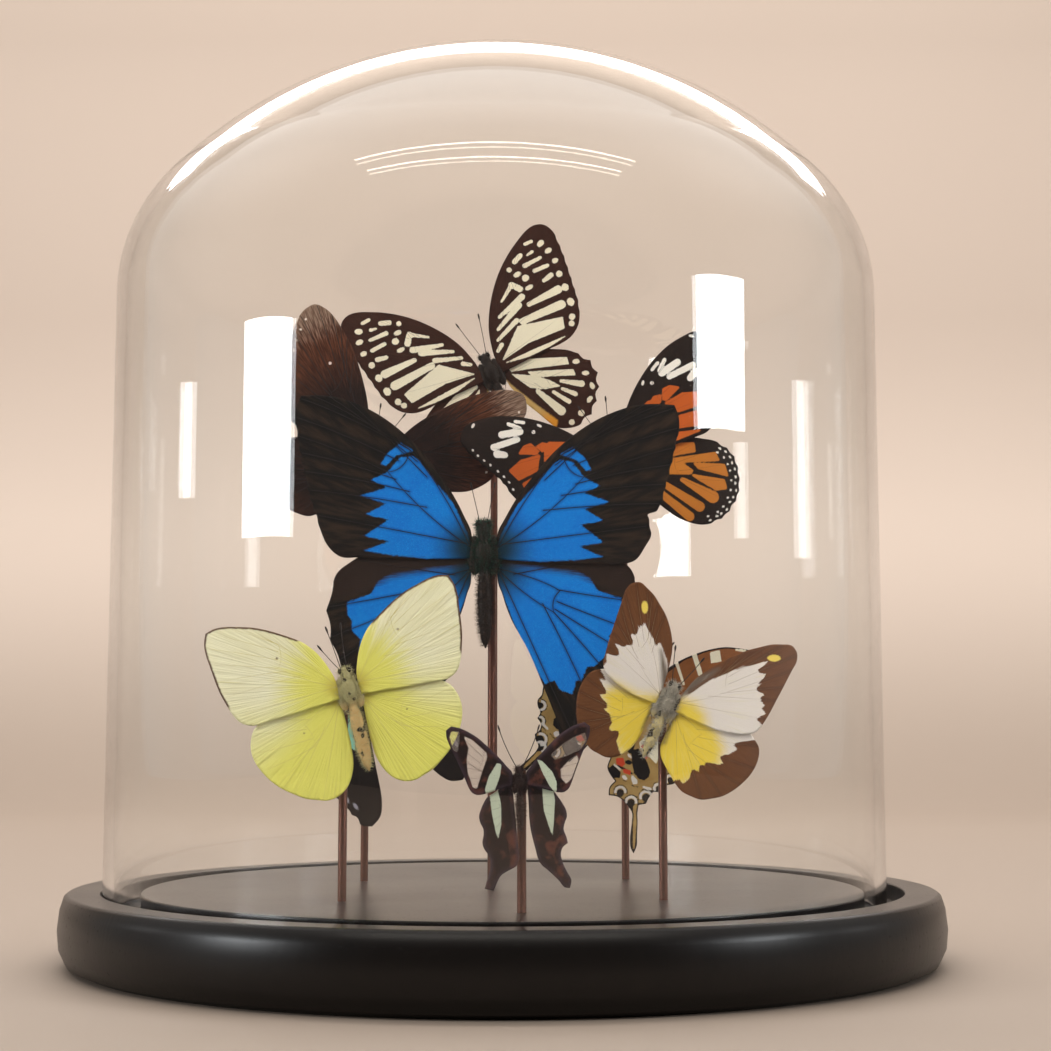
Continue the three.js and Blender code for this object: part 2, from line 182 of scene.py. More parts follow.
def studio_board():
    finish = Finish("painted_board", Roughness=0.7)
    shade = finish.noise(1.5, 2)
    height = finish.node("ShaderNodeSeparateXYZ", {}, {0: finish.coordinates}, "Z")
    wall = finish.mix(shade, tone(208, 190, 176), tone(215, 198, 184))
    ground = finish.mix(shade, tone(150, 134, 121), tone(157, 142, 129))
    return finish.wear(Base_Color=finish.mix(finish.smooth(height, 0, 0.3), ground, wall))


SWEEP_HALF_WIDTH = 2.2
SWEEP_FRONT = -1.6
SWEEP_BACK = 0.9
SWEEP_BEND = 0.5
SWEEP_TOP = 2.6
sweep_profile = [(SWEEP_FRONT, 0.0), (SWEEP_BACK, 0.0)]
sweep_profile += [(SWEEP_BACK + SWEEP_BEND * sin(a), SWEEP_BEND - SWEEP_BEND * cos(a))
                  for a in np.linspace(0, pi / 2, 17)[1:]]
sweep_profile += [(SWEEP_BACK + SWEEP_BEND, SWEEP_TOP)]
sweep_verts = [(x, y, z) for y, z in sweep_profile for x in (-SWEEP_HALF_WIDTH, SWEEP_HALF_WIDTH)]
sweep_faces = [(2 * i, 2 * i + 1, 2 * i + 3, 2 * i + 2) for i in range(len(sweep_profile) - 1)]
sweep = new_object("sweep", sweep_verts, sweep_faces, studio_board())
bpy.context.scene.view_settings.view_transform = "Standard"

world = bpy.data.worlds.new("studio_sky")
bpy.context.scene.world = world
world.use_nodes = True
sky = world.node_tree.nodes
aim = sky.new("ShaderNodeTexCoord").outputs["Generated"]
height = sky.new("ShaderNodeSeparateXYZ")
strength = sky.new("ShaderNodeMath")
strength.operation = "MULTIPLY"
world.node_tree.links.new(aim, height.inputs[0])
# The sky is brighter overhead and behind the object: from and to a direction, from and to a strength
SKY_FADES = {"Z": (0.3, 0.75, 0.34, 1.1), "Y": (-0.6, 0.1, 0.3, 1.0)}
for index, (axis, spread) in enumerate(SKY_FADES.items()):
    fade = sky.new("ShaderNodeMapRange")
    fade.interpolation_type = "SMOOTHSTEP"
    for socket, value in zip(("From Min", "From Max", "To Min", "To Max"), spread):
        fade.inputs[socket].default_value = value
    world.node_tree.links.new(height.outputs[axis], fade.inputs["Value"])
    world.node_tree.links.new(fade.outputs[0], strength.inputs[index])
world.node_tree.links.new(strength.outputs[0], sky["Background"].inputs["Strength"])
sky["Background"].inputs["Color"].default_value = (1.0, 0.965, 0.93, 1)


def panel(name, at, aim, size, power, colour=(1, 1, 1), mirrored=True):
    light = bpy.data.lights.new(name, "AREA")
    light.shape = "RECTANGLE"
    light.size, light.size_y = size
    light.energy = power
    light.color = colour
    lamp = bpy.data.objects.new(name, light)
    lamp.location = at
    lamp.rotation_euler = (Vector(aim) - Vector(at)).to_track_quat("-Z", "Y").to_euler()
    lamp.visible_camera = False
    lamp.visible_glossy = lamp.visible_transmission = mirrored
    bpy.context.scene.collection.objects.link(lamp)


panel("left_window", (-0.97, -0.48, 0.3), (0, 0, 0.15), (0.3, 0.17), 3.3, (0.93, 0.97, 1))
panel("right_window", (0.97, -0.47, 0.36), (0, 0, 0.15), (0.3, 0.12), 2.6, (0.93, 0.97, 1))
panel("left_slit", (-1.05, 0.08, 0.29), (0, 0, 0.15), (0.1, 0.09), 0.14)
panel("right_slit", (1.06, 0.09, 0.27), (0, 0, 0.15), (0.1, 0.14), 0.17)
panel("high_back_panel", (0, 1.1, 1.15), (0, 0, 0.2), (2.2, 0.2), 10)
panel("front_fill", (0, -1.0, 1.25), (0, 0, 0.12), (1.7, 0.025), 3, (1, 0.95, 0.86))
panel("front_tube", (0, -0.75, 1.35), (0, 0, 0.12), (1.7, 0.025), 3, (1, 0.95, 0.86))
panel("front_softbox", (0, -1.3, 0.9), (0, 0, 0.12), (1.6, 0.9), 2, (1, 0.97, 0.93), False)
panel("wall_wash", (0, 0.45, 2.0), (0, 1.4, 0.9), (2.6, 0.5), 36, (1, 0.98, 0.95), False)


# ---------------------------------------------------------------------------------------------
# Base: a disc of turned hardwood in several coats of black satin lacquer. Its side is a soft barrel,
# and its flat top has a ring channel for the dome around a flush middle disc.
BASE_RADIUS = 125 * MM
BASE_HEIGHT = 20 * MM
CHANNEL = (102.6 * MM, 113.5 * MM, 15 * MM)
BASE_FILLET = 0.5 * MM


def rounded(profile, radius, steps=4):
    """The profile with each marked corner turned into a small round, with a point just beside it."""
    lead = 0.6
    points = []
    for i, (x, z, sharp) in enumerate(profile):
        here = Vector((x, z))
        if not sharp:
            points.append(here)
            continue
        before = Vector(profile[i - 1][:2])
        after = Vector(profile[(i + 1) % len(profile)][:2])
        start = here + (before - here).normalized() * radius
        end = here + (after - here).normalized() * radius
        points.append(start * (1 + lead) - here * lead)
        for t in np.linspace(0, 1, steps + 1):
            points.append(start * (1 - t) ** 2 + here * 2 * t * (1 - t) + end * t ** 2)
        points.append(end * (1 + lead) - here * lead)
    return points


def turn(name, profile, sides, material, centre_x=0.0):
    """A profile of (radius, height) points turned about the upright axis, closed at both ends."""
    verts, rings = [], []
    for radius, height in profile:
        if radius < 1e-7:
            rings.append([len(verts)] * sides)
            verts.append((centre_x, 0, height))
            continue
        rings.append(list(range(len(verts), len(verts) + sides)))
        for a in np.linspace(0, 2 * pi, sides, endpoint=False):
            verts.append((centre_x + radius * cos(a), radius * sin(a), height))
    faces = []
    loops = list(zip(rings, rings[1:]))
    if profile[0][0] > 1e-7:
        loops.append((rings[-1], rings[0]))
    for low, high in loops:
        for i in range(sides):
            j = (i + 1) % sides
            face = []
            for v in (low[i], low[j], high[j], high[i]):
                if v not in face:
                    face.append(v)
            faces.append(face)
    return new_object(name, verts, faces, material)


def black_lacquer():
    finish = Finish("black_lacquer", Roughness=0.3, Specular_IOR_Level=0.3)
    grain = finish.noise(60, 5, (1, 14, 1))
    cloud = finish.noise(18, 3)
    colour = finish.mix(grain, tone(10, 7, 6), tone(20, 15, 13))
    dust = finish.smooth(finish.noise(900, 2), 0.62, 0.8)
    rough = 0.24 + 0.14 * cloud + 0.2 * dust
    return finish.wear(Base_Color=colour, Roughness=rough,
                       Normal=finish.bump(grain, 0.12, 0.0002))


inner, outer, floor = CHANNEL
base_profile = rounded([
    (0, 0, False), (119 * MM, 0, True), (122.6 * MM, 1.6 * MM, False), (124.5 * MM, 5.5 * MM, False),
    (BASE_RADIUS, 10.5 * MM, False), (124.4 * MM, 16 * MM, False), (123.4 * MM, 19.2 * MM, False),
    (122.4 * MM, BASE_HEIGHT, True), (outer, BASE_HEIGHT, True), (outer, floor, True), (inner, floor, True),
    (inner, BASE_HEIGHT, True), (0, BASE_HEIGHT, False),
], BASE_FILLET)
base = turn("turned_base", base_profile, 192, black_lacquer())
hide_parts("base")
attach(base, "root")


# ---------------------------------------------------------------------------------------------
# Dome: one blown bell of clear soda glass, with a straight wall, a round shoulder and a flatter
# crown. Its cut foot is fire-polished and stands loose in the channel of the base.
DOME_RADIUS = 110.9 * MM
DOME_WALL = 3 * MM
DOME_TOP = 263.8 * MM
CROWN = 134.5 * MM
SHOULDER = 46 * MM
DOME_SHIFT = -2.3 * MM


def bell_profile(inset):
    shoulder_x = DOME_RADIUS - SHOULDER
    crown_z = DOME_TOP - CROWN
    shoulder_z = crown_z + ((CROWN - SHOULDER) ** 2 - shoulder_x ** 2) ** 0.5
    join = np.arcsin(shoulder_x / (CROWN - SHOULDER))
    points = []
    for a in np.linspace(0, join, 20):
        points.append(((CROWN - inset) * sin(a), crown_z + (CROWN - inset) * cos(a)))
    for a in np.linspace(join, pi / 2, 18)[1:]:
        points.append((shoulder_x + (SHOULDER - inset) * sin(a), shoulder_z + (SHOULDER - inset) * cos(a)))
    points += [(DOME_RADIUS - inset, z) for z in np.linspace(shoulder_z, floor + 2.2 * MM, 14)[1:]]
    points += [(DOME_RADIUS - inset, floor + height * MM) for height in (1.8, 1.5)]
    return points


def clear_glass():
    finish = Finish("clear_glass", Roughness=0.0, IOR=1.46, Transmission_Weight=1.0)
    finish.shader.inputs["Base Color"].default_value = (0.985, 0.992, 0.988, 1)
    return finish.material


lip = [(DOME_RADIUS - DOME_WALL / 2 + DOME_WALL / 2 * cos(a), floor + 1.5 * MM + 1.5 * MM * sin(a))
       for a in np.linspace(pi, 2 * pi, 9)[1:-1]]
dome_profile = bell_profile(DOME_WALL) + lip + bell_profile(0)[::-1]
dome = turn("blown_dome", dome_profile, 160, clear_glass(), DOME_SHIFT)
dome.visible_shadow = False
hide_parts("glass_dome")
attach(dome, "root")


# ---------------------------------------------------------------------------------------------
# Rods: drawn wire of copper-brown bronze, dulled by handling, each pushed into its hole in the
# base. Its blunt top end stays behind the butterfly that it carries.
RODS = {
    "dragontail_rod": (5.3, -80, 55),
    "lemon_yellow_rod": (-41.8, -48.5, 78),
    "brown_bordered_white_rod": (42.7, -44.4, 75),
    "blue_swallowtail_rod": (-3.5, -3.7, 120),
    "crow_and_bluebottle_rod": (-42, 18.9, 150),
    "tiger_and_swordtail_rod": (36.7, 25.8, 150),
    "zebra_swallowtail_rod": (-3.9, 54.4, 185),
}
ROD_RADIUS = 1.15
ROD_FOOT = 12


def nodes_tree(name, **sockets):
    """A Geometry Nodes tree with named inputs, those inputs, and what adds a node and ends the tree."""
    tree = bpy.data.node_groups.new(name, "GeometryNodeTree")
    for label, kind in sockets.items():
        tree.interface.new_socket(label, in_out="INPUT", socket_type="NodeSocket" + kind)
    tree.interface.new_socket("Geometry", in_out="OUTPUT", socket_type="NodeSocketGeometry")

    def node(kind, inputs, **settings):
        made = tree.nodes.new(kind)
        for key, value in settings.items():
            setattr(made, key, value)
        for key, value in inputs.items():
            if isinstance(value, bpy.types.NodeSocket):
                tree.links.new(value, made.inputs[key])
            else:
                made.inputs[key].default_value = value
        return made.outputs

    begin = node("NodeGroupInput", {})

    def end(geometry):
        real = node("GeometryNodeRealizeInstances", {"Geometry": geometry})
        paint = node("GeometryNodeSetMaterial", {"Geometry": real[0], "Material": begin["Material"]})
        node("NodeGroupOutput", {"Geometry": paint[0]})
        return tree

    return begin, node, end


def limb_tree():
    """Geometry Nodes: every spline of a curve becomes a round closed limb of its own radius."""
    begin, node, end = nodes_tree("limbs", Geometry="Geometry", Sides="Int", Material="Material")
    section = node("GeometryNodeCurvePrimitiveCircle", {"Radius": 1, "Resolution": begin["Sides"]})
    girth = node("GeometryNodeInputRadius", {})
    limb = node("GeometryNodeCurveToMesh",
                {"Curve": begin["Geometry"], "Profile Curve": section["Curve"], "Scale": girth["Radius"],
                 "Fill Caps": True})
    return end(node("GeometryNodeSetShadeSmooth", {"Geometry": limb["Mesh"]})["Geometry"])


limbs = limb_tree()


def run_nodes(source, tree, settings, name):
    """Applies a Geometry Nodes tree to an object and returns the plain mesh object that comes out."""
    modifier = source.modifiers.new("nodes", "NODES")
    modifier.node_group = tree
    for item in tree.interface.items_tree:
        if item.in_out == "INPUT" and item.name in settings:
            modifier[item.identifier] = settings[item.name]
    bpy.context.view_layer.update()
    evaluated = source.evaluated_get(bpy.context.evaluated_depsgraph_get())
    mesh = bpy.data.meshes.new_from_object(evaluated)
    mesh.name = name
    mesh.materials.clear()
    mesh.materials.append(settings["Material"])
    mesh.polygons.foreach_set("material_index", np.zeros(len(mesh.polygons), np.int32))
    source.modifiers.remove(modifier)
    bpy.data.objects.remove(source)
    made = bpy.data.objects.new(name, mesh)
    bpy.context.scene.collection.objects.link(made)
    return made


def grow_limbs(name, paths, sides, material):
    """Round limbs along paths of (x, y, z, radius) points, all in metres."""
    curve = bpy.data.curves.new(name, "CURVE")
    curve.dimensions = "3D"
    for path in paths:
        spline = curve.splines.new("POLY")
        spline.points.add(len(path) - 1)
        for point, (x, y, z, radius) in zip(spline.points, path):
            point.co = (x, y, z, 1)
            point.radius = radius
    source = bpy.data.objects.new(name, curve)
    bpy.context.scene.collection.objects.link(source)
    return run_nodes(source, limbs, {"Sides": sides, "Material": material}, name)


def copper_brown():
    finish = Finish("copper_brown", Metallic=0.7, Roughness=0.35)
    stain = finish.noise(140, 4, (1, 1, 0.25))
    colour = finish.mix(stain, tone(66, 36, 26), tone(106, 62, 46))
    return finish.wear(Base_Color=colour, Roughness=0.28 + 0.25 * stain,
                       Normal=finish.bump(finish.noise(2500, 2, (1, 1, 0.05)), 0.15, 0.0001))


rod_metal = copper_brown()
for rod_name, (x, y, top) in RODS.items():
    heights = [(ROD_FOOT, 1), (top - 0.5, 1), (top - 0.15, 0.85), (top, 0.45)]
    path = [(x * MM, y * MM, z * MM, ROD_RADIUS * share * MM) for z, share in heights]
    rod = grow_limbs(rod_name + "_wire", [path], 24, rod_metal)
    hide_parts(rod_name)
    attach(rod, "root")


# ---------------------------------------------------------------------------------------------
# Blue swallowtail: the large dried butterfly in the middle, spread flat with its back to the front.
# Its wings are thin sheets of scaled membrane on raised veins, black with a field of glossy blue.
SHEET = 0.16                                  # thickness of a wing
GRID = 0.55                                   # distance between the points of a wing
SHARP_TURN = 0.9                              # an outline stays pointed where it turns by more
FAR = 9.0                                     # distances to markings are cut off here
SAG = 0.07                                    # how far the membrane hangs between its veins
SAG_REACH = 3
RIB_PROUD = 0.04                              # how far the veins stand out of the membrane
RIB_TAPER = 0.7
WING_LIFT = {"forewing": 0.6, "hindwing": -0.3}


def insect_place(at, heading, belly_out=False):
    """From the insect's own frame in millimetres (X right, Y head, Z out of its back) to the scene."""
    place = Matrix.Translation(Vector(at) * MM) @ Matrix.Rotation(radians(90), 4, "X")
    place @= Matrix.Rotation(radians(heading - 90), 4, "Z")
    place @= Matrix.Rotation(pi if belly_out else 0, 4, "Y")
    return place @ Matrix.Scale(MM, 4)


def wing_place(insect, wing, side, raised, spread):
    """The wing's own frame: X runs outwards on both sides, Y to the head, Z out of the back."""
    place = insect @ Matrix.Rotation(-side * radians(raised), 4, "Y")
    place @= Matrix.Translation((0, 0, WING_LIFT[wing]))
    place @= Matrix.Rotation(-side * radians(spread), 4, "Z")
    return place @ Matrix.Diagonal((side, 1, 1, 1))


def wing_edge(node, place):
    """The outline of the wing's solid in the wing's own frame, made smooth between its corners."""
    shell = bmesh.new()
    shell.from_mesh(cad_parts[node].data)
    shell.transform(place.inverted())
    bmesh.ops.remove_doubles(shell, verts=shell.verts, dist=0.01)
    following = {}
    for edge in shell.edges:
        tops = [f for f in edge.link_faces if all(v.co.z > 0 for v in f.verts)]
        if len(tops) == 1:
            a, b = edge.verts
            following.setdefault(a, []).append(b)
            following.setdefault(b, []).append(a)
    start = min(following, key=lambda v: (v.co.x, v.co.y))
    loop, last, here = [], None, start
    while here is not start or not loop:
        loop.append((here.co.x, here.co.y))
        ahead = [v for v in following[here] if v is not last]
        last, here = here, ahead[0]
    shell.free()
    corners = np.array(loop)
    if np.sum(corners[:, 0] * np.roll(corners[:, 1], -1) - corners[:, 1] * np.roll(corners[:, 0], -1)) < 0:
        corners = corners[::-1]
    points = []
    count = len(corners)
    ahead = np.roll(corners, -1, 0) - corners
    turning = np.abs(np.angle(np.exp(1j * (np.arctan2(ahead[:, 1], ahead[:, 0])
                                           - np.roll(np.arctan2(ahead[:, 1], ahead[:, 0]), 1)))))
    for i in range(count):
        p1, p2 = corners[i], corners[(i + 1) % count]
        p0 = corners[i - 1] if turning[i] < SHARP_TURN else p1
        p3 = corners[(i + 2) % count] if turning[(i + 1) % count] < SHARP_TURN else p2
        steps = max(1, round(np.hypot(*(p2 - p1)) / GRID))
        for t in np.arange(steps) / steps:
            points.append(0.5 * (2 * p1 + (p2 - p0) * t + (2 * p0 - 5 * p1 + 4 * p2 - p3) * t ** 2
                                 + (3 * p1 - p0 - 3 * p2 + p3) * t ** 3))
    return np.array(points)


def to_edge(points, loop):
    """Distance from each point to a closed outline, less than zero inside it."""
    a, b = loop, np.roll(loop, -1, 0)
    run = b - a
    t = ((points[:, None] - a) * run).sum(2) / np.maximum((run ** 2).sum(1), 1e-12)
    gap = points[:, None] - a - np.clip(t, 0, 1)[..., None] * run
    near = np.sqrt((gap ** 2).sum(2)).min(1)
    x, y = points[:, 0][:, None], points[:, 1][:, None]
    rising = (a[:, 1] > y) != (b[:, 1] > y)
    crossing = x < a[:, 0] + (y - a[:, 1]) * run[:, 0] / np.where(run[:, 1] == 0, 1e-12, run[:, 1])
    inside = (rising & crossing).sum(1) % 2 == 1
    return np.where(inside, -near, near)


def spot(x, y, wide, high=None, turned=0):
    """A round or oval marking: its middle, its half width and height, and its turn in degrees."""
    high = high or wide
    c, s = cos(radians(turned)), sin(radians(turned))

    def distance(points, loop):
        across, along = (points - (x, y)).T
        size = np.hypot((across * c + along * s) / wide, (along * c - across * s) / high)
        return (size - 1) * min(wide, high)
    return distance


def streak(x0, y0, r0, x1, y1, r1):
    """A bar with round ends, from one middle and half width to another."""
    def distance(points, loop):
        start, run = np.array((x0, y0)), np.array((x1 - x0, y1 - y0))
        t = np.clip((points - start) @ run / (run @ run), 0, 1)
        return np.hypot(*(points - start - t[:, None] * run).T) - r0 - (r1 - r0) * t
    return distance


def patch(*corners):
    """A marking with straight sides and slightly rounded corners."""
    def distance(points, loop):
        return to_edge(points, np.array(corners, float))
    return distance


def crescent(x, y, radius, width, turned):
    """An arc-shaped marking: its middle, radius and width, and the way that its round side looks."""
    way = np.array((cos(radians(turned)), sin(radians(turned))))

    def distance(points, loop):
        gap = points - (x, y)
        ring = np.abs(np.hypot(*gap.T) - radius) - width / 2
        return np.maximum(ring, -(gap @ way) - radius * 0.25)
    return distance


def hem(width):
    """A band of even width along the whole edge of the wing."""
    return lambda points, loop: -to_edge(points, loop) - width


def stretch(loop, start, end):
    """Where the shorter way along the outline between two places starts, and its number of points."""
    a, b = (np.hypot(*(loop - place).T).argmin() for place in (start, end))
    steps = (b - a) % len(loop)
    return (a, steps) if steps <= len(loop) / 2 else (b, len(loop) - steps)


def scalloped(loop, start, end, count, depth):
    """The outline with a row of shallow bays cut into one stretch of it."""
    a, steps = stretch(loop, start, end)
    ahead = np.roll(loop, -2, 0) - np.roll(loop, 2, 0)
    inward = np.column_stack([-ahead[:, 1], ahead[:, 0]]) / np.hypot(*ahead.T)[:, None]
    share = ((np.arange(len(loop)) - a) % len(loop)) / steps
    bay = np.where(share < 1, depth * np.abs(np.sin(pi * count * share)), 0)
    return loop + inward * bay[:, None]


def edge_spots(start, end, count, inset, wide, high):
    """A row of ovals beside the wing's edge, between two places on it."""
    def distance(points, loop):
        a, steps = stretch(loop, start, end)
        best = np.full(len(points), FAR)
        for share in (np.arange(count) + 0.5) / count:
            i = int(a + steps * share) % len(loop)
            along = loop[(i + 2) % len(loop)] - loop[i - 2]
            along /= np.hypot(*along)
            middle = loop[i] + inset * np.array((-along[1], along[0]))
            gap = points - middle
            size = np.hypot(gap @ along / wide, gap @ (-along[1], along[0]) / high)
            best = np.minimum(best, (size - 1) * min(wide, high))
        return best
    return distance


def vein_paths(loop, root, cell, apex, tornus, rays):
    """Veins of a wing: two stems around the cell, a cross vein at its end, and rays to the edge."""
    upper, lower = (np.array(p, float) for p in cell)
    root = np.array(root, float)
    first, last = (np.hypot(*(loop - place).T).argmin() for place in (tornus, apex))
    count = (last - first) % len(loop)
    bulge = np.array((-(lower - root)[1], (lower - root)[0])) * 0.04
    stems = [
        [root, root * 0.45 + upper * 0.55 + bulge, upper],
        [root, root * 0.5 + lower * 0.5 - bulge, lower],
        [upper, (upper + lower) / 2 - (upper - root) * 0.05, lower],
    ]
    for stem, share, place in rays:
        origin = root + (upper if stem == "upper" else lower) * share - root * share
        if stem == "end":
            origin = upper + (lower - upper) * share
        end = loop[int(last - count * place) % len(loop)]
        middle = (origin + end) / 2 + (origin - root) * 0.04
        stems.append([origin, middle, end * 0.985 + origin * 0.015])
    return stems


# Each ray: the side of the cell that it leaves, how far along it, and where it meets the wing's edge,
# as a share of the way from the tip to the inner corner
FORE_RAYS = [
    ("upper", 0.72, -0.34), ("upper", 0.88, -0.2), ("upper", 1, -0.09), ("upper", 1, 0.02),
    ("end", 0.3, 0.17), ("end", 0.65, 0.34), ("lower", 1, 0.5), ("lower", 0.85, 0.68),
    ("lower", 0.6, 0.84), ("upper", 0, 1.04),
]
HIND_RAYS = [
    ("upper", 0.25, -0.12), ("upper", 0.8, 0.06), ("end", 0.2, 0.22), ("end", 0.65, 0.4),
    ("lower", 1, 0.56), ("lower", 0.85, 0.74), ("lower", 0.6, 0.9), ("upper", 0, 1.12),
]


def wing_grid(loop):
    """The points of a wing, its outline first, its triangles and the edges that run around them."""
    low, high = loop.min(0), loop.max(0)
    rows = np.arange(low[1], high[1], GRID * 0.866)
    columns = np.arange(low[0], high[0], GRID)
    grid = np.array([(x + (row % 2) * GRID / 2, y) for row, y in enumerate(rows) for x in columns])
    grid = grid[to_edge(grid, loop) < -0.55 * GRID]
    flat = [Vector(p) for p in np.concatenate([loop, grid])]
    cut = delaunay_2d_cdt(flat, [], [list(range(len(loop)))], 1, 1e-5)
    triangles = [tuple(f) for f in cut[2]]
    border = {}
    for a, b, c in triangles:
        for pair in ((a, b), (b, c), (c, a)):
            if pair[::-1] in border:
                del border[pair[::-1]]
            else:
                border[pair] = True
    return np.array([tuple(v) for v in cut[0]]), triangles, border


def make_wing(node, place, markings, names, veins, vein_radius, finish, vein_finish, bays):
    """One wing: a closed sheet with its markings as distances on its points, and round veins."""
    loop = wing_edge(node, place)
    for row in bays:
        loop = scalloped(loop, *row)
    flat, triangles, border = wing_grid(loop)
    count = len(flat)
    paths = vein_paths(loop, *veins)
    lines = [smooth_path(path, 0.8) for path in paths]
    rise = relief(flat, lines)
    verts = np.concatenate([np.column_stack([flat, rise + half]) for half in (SHEET / 2, -SHEET / 2)])
    faces = triangles + [(c + count, b + count, a + count) for a, b, c in triangles]
    faces += [(b, a, a + count, b + count) for a, b in border]
    if place.determinant() < 0:
        faces = [f[::-1] for f in faces]
    sheet = new_object(node + "_sheet", [place @ Vector(v) for v in verts], faces, finish)

    away = flat - np.array(veins[0])
    measures = {"margin": np.clip(-to_edge(flat, loop), 0, FAR),
                "outward": flat[:, 0], "headward": flat[:, 1],
                "fan": np.arctan2(away[:, 1], away[:, 0] + 1) * 10, "reach": np.hypot(*away.T),
                "vein": nearest(flat, [smooth_path(path, 0.25) for path in paths])}
    for name in names:
        distances = [np.full(count, FAR)] + [shape(flat, loop) for shape in markings.get(name, [])]
        measures[name] = np.clip(np.min(distances, 0), -FAR, FAR)
    for name, values in measures.items():
        layer = sheet.data.attributes.new(name, "FLOAT", "POINT")
        layer.data.foreach_set("value", np.concatenate([values, values]).astype(np.float32))

    tubes = []
    for line in lines:
        thick = np.linspace(1, RIB_TAPER, len(line)) * vein_radius
        heights = relief(line, lines) + RIB_PROUD
        points = [place @ Vector((x, y, z)) for (x, y), z in zip(line, heights)]
        tubes.append([(*p, r * MM) for p, r in zip(points, thick)])
    ribs = grow_limbs(node + "_veins", tubes, 6, vein_finish)
    for piece in (sheet, ribs):
        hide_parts(node)
        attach(piece, "root")
    return sheet, ribs


def smooth_path(path, step):
    """Points a step apart on the curve through three places."""
    start, middle, end = path
    length = np.hypot(*(middle - start)) + np.hypot(*(end - middle))
    t = np.linspace(0, 1, max(3, int(length / step)))[:, None]
    bend = 2 * middle - (start + end) / 2
    return start * (1 - t) ** 2 + bend * 2 * t * (1 - t) + end * t ** 2


def nearest(points, lines):
    """How far each point is from the nearest of the lines."""
    near = np.full(len(points), FAR)
    for part in np.array_split(np.concatenate(lines), 8):
        near = np.minimum(near, np.sqrt(((points[:, None] - part) ** 2).sum(2)).min(1))
    return near


def relief(points, lines):
    """The membrane sags a little between veins."""
    return -SAG * (1 - np.cos(np.clip(nearest(points, lines) / SAG_REACH, 0, 1) * pi)) * 0.5


def make_trunk(name, insect, body, skin):
    """Head, thorax and ringed abdomen in one mesh, with eyes and the padded roots of the wings."""
    head, tail, thorax, abdomen = body
    abdomen_knots = ((0, 1), (0.6, 0.92), (0.95, 0.72), (1, 0.42))
    thorax_knots = ((0.45, -1.5), (0.92, -0.7), (1, 0.25), (0.55, 0.9))
    head_knots = ((0.62, -0.1), (0.4, 0.4), (0, 0.5))
    knots = [(abdomen * wide, tail * share) for wide, share in abdomen_knots]
    knots += [(thorax * wide, thorax * share) for wide, share in thorax_knots]
    knots += [(thorax * wide, head + thorax * share) for wide, share in head_knots]
    wide, along = np.array(knots).T
    ys = np.linspace(tail, head + thorax * 0.5, 90)
    profile = np.interp(ys, along, wide)
    profile = np.convolve(np.pad(profile, 2, "edge"), np.ones(5) / 5, "valid")
    profile[0] = profile[-1] = 0
    swell = 0.93 + 0.07 * np.abs(np.sin((ys - tail) / abs(tail) * 10 * pi))
    profile = np.where(ys < -thorax * 1.3, profile * swell, profile)
    sides = 20
    core = bmesh.new()
    made = []
    for y, radius in zip(ys, profile * 0.9):
        for a in np.linspace(0, 2 * pi, sides, endpoint=False):
            made.append(core.verts.new((radius * cos(a), y, radius * 0.95 * sin(a))))
    for ring in range(len(ys) - 1):
        for i in range(sides):
            low, j = ring * sides, (i + 1) % sides
            face = (low + sides + i, low + sides + j, low + j, low + i)
            core.faces.new([made[corner] for corner in face])
    bmesh.ops.remove_doubles(core, verts=core.verts, dist=0.001)
    bmesh.ops.recalc_face_normals(core, faces=core.faces)
    for side in (-1, 1):
        eye = Matrix.Translation((side * thorax * 0.42, head + thorax * 0.12, thorax * 0.08))
        eye @= Matrix.Diagonal((thorax * 0.26, thorax * 0.34, thorax * 0.34, 1))
        before = set(core.faces)
        bmesh.ops.create_icosphere(core, subdivisions=2, radius=1, matrix=eye)
        for face in set(core.faces) - before:
            face.material_index = 1
        # A padded flank joins each side of the thorax to the roots of its wings
        flank = Matrix.Translation((side * thorax * 0.78, thorax * -0.3, thorax * 0.1))
        flank @= Matrix.Diagonal((thorax * 0.56, thorax * 1.6, thorax * 0.32, 1))
        bmesh.ops.create_icosphere(core, subdivisions=3, radius=1, matrix=flank)
    headward = core.verts.layers.float.new("headward")
    for vert in core.verts:
        vert[headward] = vert.co.y
    core.transform(insect)
    mesh = bpy.data.meshes.new(name)
    core.to_mesh(mesh)
    core.free()
    mesh.materials.append(skin)
    mesh.materials.append(eye_black)
    mesh.shade_smooth()
    trunk = bpy.data.objects.new(name, mesh)
    bpy.context.scene.collection.objects.link(trunk)
    return trunk


